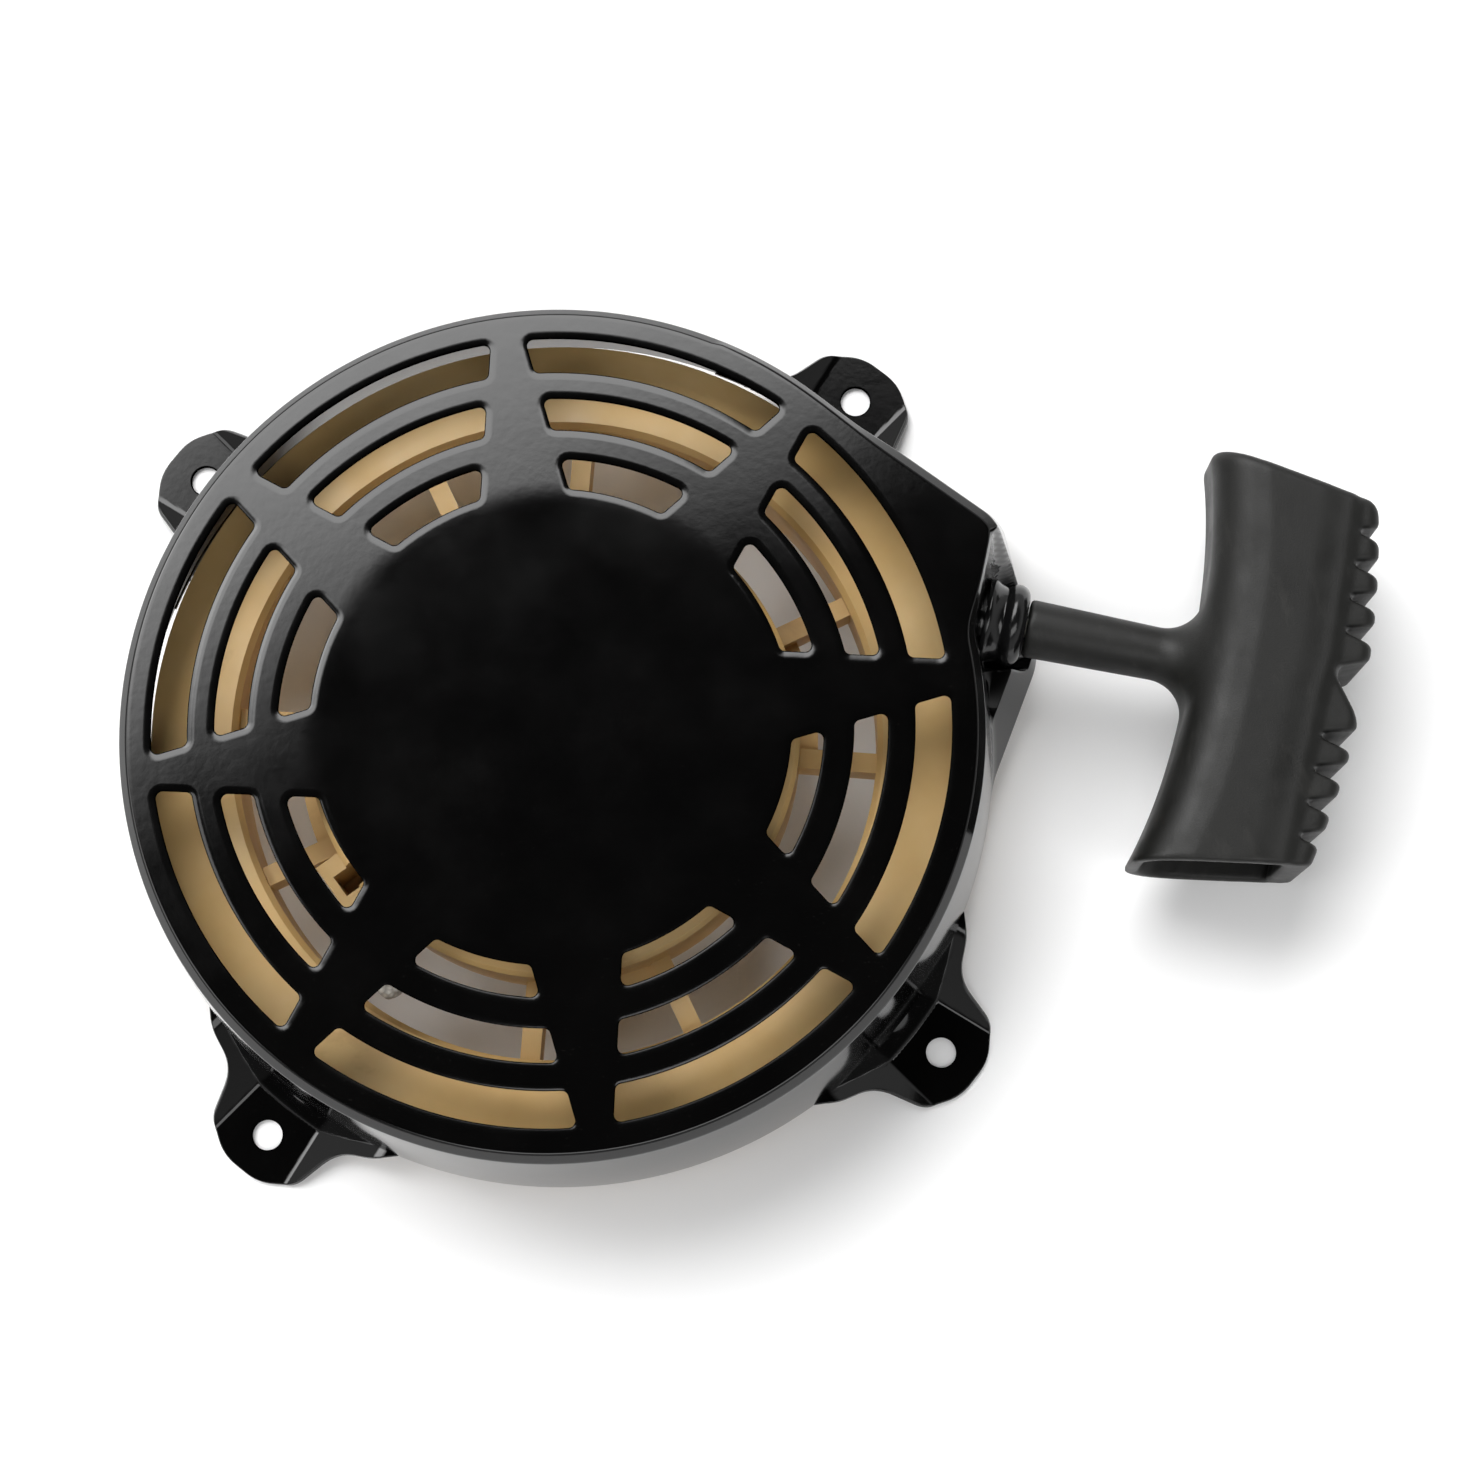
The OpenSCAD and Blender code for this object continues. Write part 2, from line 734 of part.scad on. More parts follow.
// Two steel pins pressed in the pulley, one for each pawl
module pawl_pins() {
    color("#b8babc")
        for (x = [-1, 1])
            translate([x * pawl_pivot_r, 0, pawl_z + 0.1])
                cylinder(r = pin_r, h = pulley_z + 2.4 - pawl_z);
}

// Torsion spring on a pawl's pin: close coils with one leg to the pulley's hub
module pawl_spring() {
    wire_r = 0.3;
    coil_r = 3.1;
    color("#9ea1a4")
        translate([pawl_pivot_r, 0, pulley_z - wire_r - 0.1]) {
            rotate_extrude() translate([coil_r, 0]) circle(wire_r);
            rotate([0, 0, 150])
                translate([0, coil_r, 0]) rotate([0, 90, 0]) cylinder(r = wire_r, h = 6);
        }
}

module pawl_spring_a() {
    pawl_spring();
}

module pawl_spring_b() {
    rotate([0, 0, 180]) pawl_spring();
}

// Place of a pawl's drive pin as the plate sees it, f of the way to engaged
function cam_point(f) =
    let (pin = [pawl_pivot_r, 0] + polar(drive_pin_at, pawl_rest_angle + f * pawl_swing),
         r = norm(pin))
    polar(r, atan2(pin[1], pin[0]) - f * plate_turn);

// Outline of the slot that a drive pin runs in: one side, a round end, the other side,
// and the other end
function cam_slot_outline() =
    let (steps = 10, slot_r = drive_pin_r + 0.4,
         way = [for (i = [0:steps]) cam_point(i / steps)],
         heading = [for (i = [0:steps])
             let (step = way[min(i + 1, steps)] - way[max(i - 1, 0)]) atan2(step[1], step[0])])
    concat([for (i = [0:steps]) way[i] + polar(slot_r, heading[i] + 90)],
           [for (k = [1:7]) way[steps] + polar(slot_r, heading[steps] + 90 - k * 22.5)],
           [for (i = [steps:-1:0]) way[i] + polar(slot_r, heading[i] - 90)],
           [for (k = [1:7]) way[0] + polar(slot_r, heading[0] - 90 - k * 22.5)]);

module cam_slot() {
    polygon(cam_slot_outline());
}

// Plate held back by friction on the post, whose cam slots swing the pawls out
module friction_plate() {
    color("#b3b6b9")
        translate([0, 0, plate_z])
            linear_extrude(plate_t)
                difference() {
                    circle(plate_r);
                    circle(spigot_r + run_gap);
                    cam_slot();
                    rotate(180) cam_slot();
                    for (x = [-1, 1]) translate([0, x * 15]) circle(4);
                }
}

module brake_spring() {
    wire_r = 0.5;
    low_z = brake_washer_z + brake_washer_t + 0.1 + wire_r;
    color("#8b8e92")
        for (k = [0:1])
            translate([0, 0, low_z + k * 0.9])
                rotate_extrude() translate([6.4, 0]) circle(wire_r);
}

module brake_washer() {
    color("#c2a15a")
        translate([0, 0, brake_washer_z])
            difference() {
                cylinder(r = 8.5, h = brake_washer_t);
                translate([0, 0, -1]) cylinder(r = spigot_r + 0.1, h = 3);
            }
}

module screw_washer() {
    color("#c9cbcc")
        translate([0, 0, screw_washer_z])
            difference() {
                cylinder(r = 9, h = spigot_z - screw_washer_z);
                translate([0, 0, -1]) cylinder(r = screw_r + 0.15, h = 4);
            }
}

module centre_screw() {
    color("#a9acaf") {
        translate([0, 0, screw_head_z]) cylinder(r = 5.77, h = screw_washer_z - screw_head_z, $fn = 6);
        translate([0, 0, screw_washer_z - 0.2]) cylinder(r = screw_r, h = 20);
    }
}

housing();
rope_guide();
centre_post();
spring_anchor();
pulley();
spring_keeper();
rewind_spring();
post_washer();
retaining_ring();
rope_coil();
rope_lead();
rope_in_grip();
pulley_knot();
grip_knot();
grip();
grip_washer();
pawl_a();
pawl_b();
pawl_pins();
pawl_spring_a();
pawl_spring_b();
friction_plate();
brake_spring();
brake_washer();
screw_washer();
centre_screw();
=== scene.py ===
"""Looks of the recoil starter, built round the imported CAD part: finer meshes for the
pressed housing, the grip and the rope, and a procedural material on every piece."""

import json
import math

import bpy
import numpy as np
from mathutils import Euler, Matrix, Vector
from mathutils.geometry import delaunay_2d_cdt

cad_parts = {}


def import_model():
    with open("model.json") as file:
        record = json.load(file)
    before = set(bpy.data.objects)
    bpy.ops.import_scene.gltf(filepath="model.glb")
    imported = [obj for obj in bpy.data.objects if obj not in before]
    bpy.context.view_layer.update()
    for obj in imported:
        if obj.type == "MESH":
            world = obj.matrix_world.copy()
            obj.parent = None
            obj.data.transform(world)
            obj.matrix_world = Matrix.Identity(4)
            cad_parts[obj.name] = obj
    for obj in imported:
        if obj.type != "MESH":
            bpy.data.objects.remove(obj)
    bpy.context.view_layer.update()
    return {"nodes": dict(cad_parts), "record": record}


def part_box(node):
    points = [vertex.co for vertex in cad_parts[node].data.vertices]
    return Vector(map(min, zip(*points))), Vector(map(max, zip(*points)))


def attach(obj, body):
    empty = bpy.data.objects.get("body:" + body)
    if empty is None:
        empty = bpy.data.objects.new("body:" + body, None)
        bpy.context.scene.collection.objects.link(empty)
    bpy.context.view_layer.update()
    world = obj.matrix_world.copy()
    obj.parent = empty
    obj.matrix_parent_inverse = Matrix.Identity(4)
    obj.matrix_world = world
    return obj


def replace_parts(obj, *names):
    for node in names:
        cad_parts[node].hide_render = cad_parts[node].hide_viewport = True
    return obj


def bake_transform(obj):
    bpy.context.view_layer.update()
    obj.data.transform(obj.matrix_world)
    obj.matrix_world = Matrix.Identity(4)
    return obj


MM = 0.001

# Housing, in millimetres, as the CAD part has it. EASE is the round on every cut edge, and
# ROLL how far the face turns down beside a louvre.
BOLT = 77.5
BOLT_HOLE_R = 3.45
BODY_H = 51.0
SKIRT_Z = 10.0
SHEET = 1.2
EASE = 0.28
ROLL = 1.6
ROLL_DEPTH = 0.13
ROLL_STEPS = (0.3, 0.6, 0.95, 1.3, 1.6)
FLAT_R = 49.0
CONE_R = 54.0
CONE_SLOPE = 0.034
LINE_R = 92.8
SHOULDER_R = 94.7
SHOULDER_Z = 47.3
BODY_R = 98.4
RINGS = ((52.6, 59.4), (66.1, 73.3), (79.4, 87.2))
SPOKES = 8
SPOKE_W0 = 18.66
SPOKE_TAPER = 0.169
SLOT_CORNER = 1.4

# Snout: direction of each side's normal, its distance at the face and at the skirt
SNOUT = ((47.0, 92.4, 103.6), (7.0, 104.0, 111.3), (-27.8, 77.0, 94.4))
SNOUT_END = 60.0
SNOUT_EDGE_R = 2.4
SEAT_D = 88.2
SEAT_LINE_D = 85.4
SEAT_DRAFT = 0.098
SCOOP_R = 12.4
SCOOP_LOW_Z = 15.5

# Ear, along its diagonal: the pad's half width and how it grows, and where the sheet rises
PAD_FROM = 101.8
PAD_HALF_W = 8.7
PAD_TAPER = 0.117
FLANK_SLOPE = 0.6
GUSSET_R = 101.9
GUSSET_SLOPE = 2.3
EAR_TOP_Z = 10.8
EAR_ROOT_R = 96.9

# Light: how strong the soft box, the surround and the part overhead are
SOFT_BOX = 6.6
SURROUND = 0.6
OVERHEAD = 0.006
# Lamps: name, direction round the part and height in degrees, and watts
LAMPS = (("lamp", 280, 63, 13.0), ("side_lamp", 168, 52, 12.0))

# Rope and grip
PULL = math.radians(-18.7)
PULL_OFFSET = 47.5
ROPE_Z = 24.0
ROPE_R = 2.25
GUIDE_FACE = 97.5
LIP_AT = 6.6
LIP_R = 2.75
STEM_START = 97.8
STEM_R = 6.55
BORE_R = 2.6
BORE_END = 150.0
FILLET_R = 9.0

# Bar of the grip: its ends and their slant, half height, walls, and its row of teeth
BAR_MIDDLE = 140.0
BAR_TOP = 45.5
BAR_FOOT = 47.5
HOLLOW_TOP = 42.1
BAR_HALF_H = 16.7
BAR_WALLS = (3.0, 2.6, 2.9)
TEETH_FROM = 158.0
TEETH_HALF_H = 15.9
TOOTH_PITCH = 7.6
TOOTH_GAP = 0.55
UPPER_GAP = 10.4
LOWER_GAP = -13.9
NOTCH_ROOT = 166.0

# Rope on the pulley: radius and height of each turn, and where the coil starts
LANES = ((76.75, 21.75), (76.75, 26.25), (81.25, 26.25), (81.25, 21.75))
COIL_START = 228.0
LEAD_R = 86.05
LEAD_WRAP = math.radians(34.0)
BEND_AT = 90.0
BEND_R = 14.0

# Camera: place in metres, turn in degrees, focal length for a 36 mm sensor
CAMERA_AT = (0.03927, -0.12601, 0.72051)
CAMERA_TURN = (9.955, 1.162, -6.876)
CAMERA_LENS = 76.71


# ---------------------------------------------------------------------- mesh helpers


def smooth_max(a, b, k):
    """The greater of a and b, with a round of about k where they meet."""
    h = np.maximum(k - np.abs(a - b), 0.0) / k
    return np.maximum(a, b) + h * h * k * 0.25


def smooth_min(a, b, k):
    return -smooth_max(-a, -b, k)


def smooth_step(x, low, high):
    t = np.clip((x - low) / (high - low), 0.0, 1.0)
    return t * t * (3.0 - 2.0 * t)


def mesh_piece(name, points, faces, material, smooth_angle=35.0):
    """A mesh object from points in millimetres, shaded smooth up to an angle."""
    mesh = bpy.data.meshes.new(name)
    mesh.from_pydata([tuple(p) for p in np.asarray(points, float) * MM], [], faces)
    mesh.validate()
    mesh.shade_smooth()
    mesh.set_sharp_from_angle(angle=math.radians(smooth_angle))
    obj = bpy.data.objects.new(name, mesh)
    bpy.context.scene.collection.objects.link(obj)
    mesh.materials.append(material)
    return obj


def tube(path, radius, sides, closed=False):
    """Points and faces of a tube along path, with a frame that doesn't twist."""
    path = np.asarray(path, float)
    count = len(path)
    if closed:
        ahead, behind = np.roll(path, -1, 0), np.roll(path, 1, 0)
    else:
        ahead = np.vstack([path[1:], path[-1:]])
        behind = np.vstack([path[:1], path[:-1]])
    along = ahead - behind
    along /= np.linalg.norm(along, axis=1)[:, None]
    up = np.array([0.0, 0.0, 1.0])
    if abs(along[0] @ up) > 0.9:
        up = np.array([1.0, 0.0, 0.0])
    points, side = [], np.cross(along[0], up)
    for i in range(count):
        side = side - (side @ along[i]) * along[i]
        side /= np.linalg.norm(side)
        other = np.cross(along[i], side)
        for k in range(sides):
            a = 2 * math.pi * k / sides
            points.append(path[i] + radius * (math.cos(a) * side + math.sin(a) * other))
    faces = []
    for i in range(count if closed else count - 1):
        j = (i + 1) % count
        for k in range(sides):
            m = (k + 1) % sides
            faces.append((i * sides + k, i * sides + m, j * sides + m, j * sides + k))
    if not closed:
        faces.append(tuple(range(sides - 1, -1, -1)))
        faces.append(tuple(range((count - 1) * sides, count * sides)))
    return points, faces


def lathe(profile, sides):
    """Points and faces of a closed profile of (radius, height) turned about Z."""
    points, faces, count = [], [], len(profile)
    for k in range(sides):
        a = 2 * math.pi * k / sides
        points += [(r * math.cos(a), r * math.sin(a), z) for r, z in profile]
    for k in range(sides):
        m = (k + 1) % sides
        for i in range(count):
            j = (i + 1) % count
            faces.append((k * count + i, m * count + i, m * count + j, k * count + j))
    return points, faces


def to_pull_frame(points):
    """From (along the pull, across, up) about the rope's line to the object's frame."""
    p = np.asarray(points, float).reshape(-1, 3)
    c, s = math.cos(PULL), math.sin(PULL)
    across = p[:, 1] + PULL_OFFSET
    return np.stack([p[:, 0] * c - across * s, p[:, 0] * s + across * c, p[:, 2] + ROPE_Z], 1)


def round_corner(before, corner, after, reach, steps):
    """Points of a smooth bend at corner, from reach before it to reach after it."""
    corner = np.asarray(corner, float)
    a = np.asarray(before, float) - corner
    b = np.asarray(after, float) - corner
    a = corner + a * min(reach / np.linalg.norm(a), 0.45)
    b = corner + b * min(reach / np.linalg.norm(b), 0.45)
    t = np.linspace(0, 1, steps + 1)[:, None]
    return (1 - t) ** 2 * a + 2 * t * (1 - t) * corner + t**2 * b


# ------------------------------------------------------------------------- materials


class Nodes:
    """A material's node tree with one Principled shader, and short ways to add to it."""

    def __init__(self, name):
        self.material = bpy.data.materials.new(name)
        self.material.use_nodes = True
        self.tree = self.material.node_tree
        self.tree.nodes.clear()
        self.shader = self.add("ShaderNodeBsdfPrincipled")
        output = self.add("ShaderNodeOutputMaterial")
        self.link(self.shader.outputs["BSDF"], output.inputs["Surface"])
        self.place = self.add("ShaderNodeTexCoord").outputs["Object"]

    def add(self, kind, **values):
        node = self.tree.nodes.new(kind)
        for key, value in values.items():
            setattr(node, key, value)
        return node

    def link(self, a, b):
        self.tree.links.new(a, b)

    def set(self, **values):
        for key, value in values.items():
            self.shader.inputs[key.replace("_", " ")].default_value = value

    def noise(self, scale, detail=3.0, rough=0.55, distortion=0.0, stretch=None):
        node = self.add("ShaderNodeTexNoise")
        node.inputs["Scale"].default_value = scale
        node.inputs["Detail"].default_value = detail
        node.inputs["Roughness"].default_value = rough
        node.inputs["Distortion"].default_value = distortion
        source = self.place
        if stretch:
            mapping = self.add("ShaderNodeMapping")
            mapping.inputs["Scale"].default_value = stretch
            self.link(self.place, mapping.inputs["Vector"])
            source = mapping.outputs["Vector"]
        self.link(source, node.inputs["Vector"])
        return node.outputs["Fac"]

    def cells(self, scale, feature="F1"):
        node = self.add("ShaderNodeTexVoronoi", feature=feature)
        node.inputs["Scale"].default_value = scale
        self.link(self.place, node.inputs["Vector"])
        return node.outputs["Distance"]

    def ramp(self, value, stops):
        node = self.add("ShaderNodeValToRGB")
        elements = node.color_ramp.elements
        while len(elements) < len(stops):
            elements.new(0.5)
        for element, (at, colour) in zip(elements, stops):
            element.position = at
            element.color = (*colour, 1.0) if len(colour) == 3 else colour
        self.link(value, node.inputs["Fac"])
        return node.outputs["Color"]

    def span(self, value, low, high, from_low=0.0, from_high=1.0):
        node = self.add("ShaderNodeMapRange")
        node.inputs["From Min"].default_value = from_low
        node.inputs["From Max"].default_value = from_high
        node.inputs["To Min"].default_value = low
        node.inputs["To Max"].default_value = high
        self.link(value, node.inputs["Value"])
        return node.outputs["Result"]

    def mix(self, share, a, b):
        node = self.add("ShaderNodeMix", data_type="RGBA")
        for socket, value in ((node.inputs[0], share), (node.inputs[6], a), (node.inputs[7], b)):
            if isinstance(value, (tuple, list)):
                socket.default_value = (*value, 1.0)
            elif isinstance(value, (int, float)):
                socket.default_value = value
            else:
                self.link(value, socket)
        return node.outputs[2]

    def maths(self, operation, a, b):
        node = self.add("ShaderNodeMath", operation=operation)
        for socket, value in zip(node.inputs, (a, b)):
            if isinstance(value, (int, float)):
                socket.default_value = value
            else:
                self.link(value, socket)
        return node.outputs[0]

    def bump(self, height, strength, distance, normal=None):
        node = self.add("ShaderNodeBump")
        node.inputs["Strength"].default_value = strength
        node.inputs["Distance"].default_value = distance
        self.link(height, node.inputs["Height"])
        if normal is not None:
            self.link(normal, node.inputs["Normal"])
        return node.outputs["Normal"]

    def finish(self, colour=None, roughness=None, normal=None):
        if colour is not None:
            self.link(colour, self.shader.inputs["Base Color"])
        if roughness is not None:
            self.link(roughness, self.shader.inputs["Roughness"])
        if normal is not None:
            self.link(normal, self.shader.inputs["Normal"])
        return self.material


def enamel():
    """Stove enamel on pressed steel: near black, a slight orange peel, dust and rubs."""
    n = Nodes("housing_enamel")
    cloud = n.noise(28, 4, 0.6)
    specks = n.span(n.noise(1900, 2, 0.5), 0.0, 1.0, 0.7, 0.82)
    colour = n.mix(cloud, (0.0008, 0.0008, 0.0009), (0.002, 0.0019, 0.0018))
    colour = n.mix(n.maths("MULTIPLY", specks, 0.3), colour, (0.04, 0.038, 0.035))
    rough = n.span(n.noise(55, 5, 0.62), 0.07, 0.13, 0.3, 0.75)
    peel = n.bump(n.noise(520, 2, 0.5), 0.025, 0.0003)
    wave = n.bump(n.noise(30, 2, 0.5), 0.02, 0.002, peel)
    n.set(Specular_IOR_Level=0.45)
    return n.finish(colour, rough, wave)


def guide_gloss():
    """Polished black moulding of the rope guide, with a few fine rubs."""
    n = Nodes("guide_black")
    rub = n.noise(240, 5, 0.7, stretch=(1.0, 1.0, 0.2))
    colour = n.mix(n.noise(90, 3), (0.004, 0.004, 0.0045), (0.009, 0.009, 0.009))
    n.set(Specular_IOR_Level=0.45)
    bump = n.bump(n.noise(170, 2), 0.2, 0.0008)
    return n.finish(colour, n.span(rub, 0.1, 0.24), bump)


def grip_rubber():
    """Charcoal moulded grip, satin, with pale scuffs and a fine sandy grain."""
    n = Nodes("grip_rubber")
    cloud = n.noise(45, 4, 0.6)
    scuff = n.span(n.noise(150, 6, 0.72, 0.4, (1.0, 0.35, 1.0)), 0.0, 1.0, 0.56, 0.8)
    colour = n.mix(cloud, (0.0035, 0.0035, 0.003), (0.0065, 0.0065, 0.0055))
    colour = n.mix(n.maths("MULTIPLY", scuff, 0.45), colour, (0.034, 0.033, 0.03))
    rough = n.span(n.noise(90, 4, 0.6), 0.42, 0.6, 0.3, 0.7)
    grain = n.bump(n.noise(2600, 2, 0.6), 0.16, 0.00025)
    wave = n.bump(n.noise(60, 2), 0.07, 0.002, grain)
    n.set(Specular_IOR_Level=0.35)
    return n.finish(colour, rough, wave)


def nylon():
    """Natural nylon: warm tan, cloudy, with brown stains and fine flow marks."""
    n = Nodes("natural_nylon")
    cloud = n.noise(22, 4, 0.6)
    colour = n.ramp(
        cloud,
        [
            (0.25, (0.56, 0.35, 0.125)),
            (0.5, (0.68, 0.45, 0.185)),
            (0.75, (0.76, 0.54, 0.26)),
        ],
    )
    stain = n.span(n.noise(34, 5, 0.65, 0.6), 0.0, 1.0, 0.6, 0.78)
    colour = n.mix(n.maths("MULTIPLY", stain, 0.45), colour, (0.33, 0.16, 0.055))
    rough = n.span(n.noise(130, 4), 0.38, 0.55, 0.3, 0.7)
    flow = n.bump(n.noise(210, 4, 0.6), 0.12, 0.0005)
    n.set(Subsurface_Weight=0.12, Subsurface_Radius=(0.006, 0.003, 0.0015), Subsurface_Scale=0.5)
    return n.finish(colour, rough, flow)


def rope_braid():
    """Braided cord: off white with grey flecks, in crossing strands, each strand painted darker
    towards its edges as painted shade in the grooves between strands.
    """
    n = Nodes("rope")
    strands = n.cells(900)
    # painted shade: each strand cell is lightest at its middle and darker towards its edge, for
    # the shade in the grooves between strands
    colour = n.ramp(strands, [(0.0, (0.74, 0.72, 0.66)), (0.7, (0.42, 0.4, 0.36))])
    fleck = n.span(n.noise(420, 2), 0.0, 1.0, 0.6, 0.68)
    colour = n.mix(n.maths("MULTIPLY", fleck, 0.6), colour, (0.07, 0.09, 0.14))
    n.set(Sheen_Weight=0.3)
    bump = n.bump(strands, 0.7, 0.0006)
    return n.finish(colour, n.span(n.noise(300), 0.7, 0.9), bump)


def steel(name, light, dark, rough, scale, stretch=None, metal=1.0):
    """Bare or plated steel: light and dark patches, and the marks of its making."""
    n = Nodes(name)
    patches = n.noise(scale, 4, 0.6)
    marks = n.noise(scale * 9, 5, 0.7, stretch=stretch)
    colour = n.mix(patches, light, dark)
    n.set(Metallic=metal)
    roughness = n.span(marks, rough * 0.75, rough * 1.35, 0.25, 0.75)
    return n.finish(colour, roughness, n.bump(marks, 0.1, 0.0002))


def make_materials():
    return {
        "housing_enamel": enamel(),
        "guide_black": guide_gloss(),
        "grip_rubber": grip_rubber(),
        "natural_nylon": nylon(),
        "rope": rope_braid(),
        "bright_steel": steel("bright_steel", (0.72, 0.73, 0.74), (0.6, 0.6, 0.61), 0.22, 60),
        "plain_steel": steel("plain_steel", (0.42, 0.42, 0.43), (0.3, 0.29, 0.28), 0.38, 45),
        "spring_steel": steel(
            "spring_steel", (0.16, 0.18, 0.22), (0.1, 0.1, 0.12), 0.3, 50, (1.0, 1.0, 0.1)
        ),
        "zinc_steel": steel("zinc_steel", (0.6, 0.61, 0.63), (0.5, 0.49, 0.46), 0.32, 80),
        "pawl_steel": steel("pawl_steel", (0.3, 0.3, 0.31), (0.2, 0.19, 0.19), 0.42, 90),
        "washer_brass": steel("washer_brass", (0.72, 0.5, 0.2), (0.55, 0.36, 0.13), 0.3, 70),
    }


def dress_nodes(frame, materials):
    """Every CAD node that stays takes the material of its slot in the record."""
    for part in frame["record"]["subparts"]:
        material = materials[part["material_slot"]]
        for slot in frame["nodes"][part["node"]].material_slots:
            slot.material = material


# --------------------------------------------------------------------------- housing


def reach(phi, direction, distance):
    """Distance from the axis to a plane, seen in the direction phi."""
    return distance / np.maximum(np.cos(phi - math.radians(direction)), 0.15)


def in_snout(phi):
    """Whether the snout can stand out from the drum in the direction phi."""
    low, high = math.radians(SNOUT[2][0]), math.radians(SNOUT_END)
    return (phi > low) & (phi < high)


def snout_radius(phi, down, extra):
    """The snout's sides, down from 0 at the face to 1 at the skirt."""
    fade = smooth_step(np.degrees(phi), 30.0, 44.0)
    radius = 1e3
    for i, (direction, top, foot) in enumerate(SNOUT):
        side_phi = phi
        if i == 0:
            foot = foot - 8.0 * fade
            side_phi = np.minimum(phi, math.radians(direction))
        side = reach(side_phi, direction, top + extra + (foot - top - extra) * down)
        radius = smooth_min(radius, side, SNOUT_EDGE_R)
    return np.where(in_snout(phi), radius, 0.0)


def line_radius(phi):
    """Outline of the face, at the fine edge where it starts to bend down."""
    seat = reach(phi, math.degrees(PULL), SEAT_LINE_D)
    snout = smooth_min(snout_radius(phi, 0.0, 0.0), np.where(in_snout(phi), seat, 0.0), 1.5)
    return smooth_max(np.full_like(phi, LINE_R), snout, 2.6)


def wall_radius(phi, z):
    """Radius of the outside of the wall, seen in the direction phi at the height z."""
    down = np.clip((SHOULDER_Z - z) / (SHOULDER_Z - SKIRT_Z), 0.0, 1.0)
    drum = SHOULDER_R + (BODY_R - SHOULDER_R) * (1.35 * down - 0.35 * down**2)
    snout = snout_radius(phi, (BODY_H - z) / (BODY_H - SKIRT_Z), 1.4)
    seat = reach(phi, math.degrees(PULL), SEAT_D + (ROPE_Z - z) * SEAT_DRAFT)
    across = seat * np.sin(phi - PULL) - PULL_OFFSET
    half = SCOOP_R + (z - ROPE_Z) / 9.0
    above = np.minimum(half - across, z - ROPE_Z)
    below = np.minimum(np.minimum(half + across, -across), z - SCOOP_LOW_Z)
    circle = SCOOP_R - np.hypot(across, z - ROPE_Z)
    inside = np.maximum(np.maximum(above, circle), below)
    share = smooth_step(inside, -0.7, 0.7)
    snout = snout + (smooth_min(snout, seat, 0.8) - snout) * share
    return smooth_max(drum, snout, 1.2)


def face_z(radius, top):
    """Height of the outside of the face: flat in the middle, then a shallow cone."""
    bend = np.clip(radius, FLAT_R, CONE_R) - FLAT_R
    rest = np.maximum(radius - CONE_R, 0.0)
    return top - CONE_SLOPE * (bend**2 / (2 * (CONE_R - FLAT_R)) + rest)


def slot_outline(inner, outer):
    """Outline of one louvre, counter-clockwise, beside the spoke that lies along X."""
    slope = math.hypot(1, SPOKE_TAPER)
    normal = np.array([SPOKE_TAPER, 1]) / slope
    run = np.array([1, -SPOKE_TAPER]) / slope
    off = SPOKE_W0 / slope
    c = SLOT_CORNER

    def corner(radius, side):
        to_centre = radius - side * c
        centre = normal * (off + c) + run * math.sqrt(to_centre**2 - (off + c) ** 2)
        line = math.atan2(-normal[1], -normal[0])
        arc = math.atan2(side * centre[1], side * centre[0])
        if side > 0:
            start, end = line, arc
        else:
            start, end = arc, line + (2 * math.pi if arc > 0 else 0)
        angles = np.linspace(start, end, 6)
        return [centre + c * np.array([math.cos(a), math.sin(a)]) for a in angles]

    low, high = corner(inner, -1), corner(outer, 1)
    edge = [low[-1] + (high[0] - low[-1]) * t for t in (0.25, 0.5, 0.75)]
    half = low + edge + high
    turn = math.radians(180.0 / SPOKES)

    def mirrored(p):
        a = 2 * turn - math.atan2(p[1], p[0])
        return np.hypot(*p) * np.array([math.cos(a), math.sin(a)])

    def arc(radius, start, end):
        steps = max(4, int(abs(end - start) * radius / 1.6))
        angles = np.linspace(start, end, steps + 1)[1:-1]
        return [radius * np.array([math.cos(a), math.sin(a)]) for a in angles]

    other = [mirrored(p) for p in reversed(half)]
    a_out = math.atan2(high[-1][1], high[-1][0])
    a_in = math.atan2(low[0][1], low[0][0])
    return half + arc(outer, a_out, 2 * turn - a_out) + other + arc(inner, 2 * turn - a_in, a_in)


def inside_outline(points, outline):
    """Which of the points lie inside a closed outline."""
    x, y = points[:, 0], points[:, 1]
    inside = np.zeros(len(points), bool)
    a = np.asarray(outline)
    b = np.roll(a, -1, 0)
    for (x0, y0), (x1, y1) in zip(a, b):
        cross = (y0 > y) != (y1 > y)
        if abs(y1 - y0) > 1e-12:
            inside ^= cross & (x < (x1 - x0) * (y - y0) / (y1 - y0) + x0)
    return inside


def filled(loops, extra, keep):
    """Triangles between closed loops with extra points among them, where keep is true of
    a triangle's centre. Returns the plan points, the triangles, and each loop's points."""
    points, edges = [], []
    for loop in loops:
        start = len(points)
        points += [tuple(p) for p in loop]
        edges += [(start + i, start + (i + 1) % len(loop)) for i in range(len(loop))]
    points += [tuple(p) for p in extra]
    made = delaunay_2d_cdt(points, edges, [], 0, 1e-5)
    plan = np.array([tuple(p) for p in made[0]])
    triangles = np.array([tuple(f) for f in made[2]])
    centres = plan[triangles].mean(1)
    kept = [tuple(int(i) for i in t) for t in triangles[keep(centres)]]
    place = {old: new for new, olds in enumerate(made[3]) for old in olds}
    ends, start = [], 0
    for loop in loops:
        ends.append([place[i] for i in range(start, start + len(loop))])
        start += len(loop)
    return plan, kept, ends


def grid_points(low, high, pitch):
    """Points of a triangular grid over a square."""
    rows = np.arange(low, high, pitch * 0.866)
    out = []
    for i, y in enumerate(rows):
        x = np.arange(low + (i % 2) * pitch / 2, high, pitch)
        out.append(np.stack([x, np.full_like(x, y)], 1))
    return np.vstack(out)


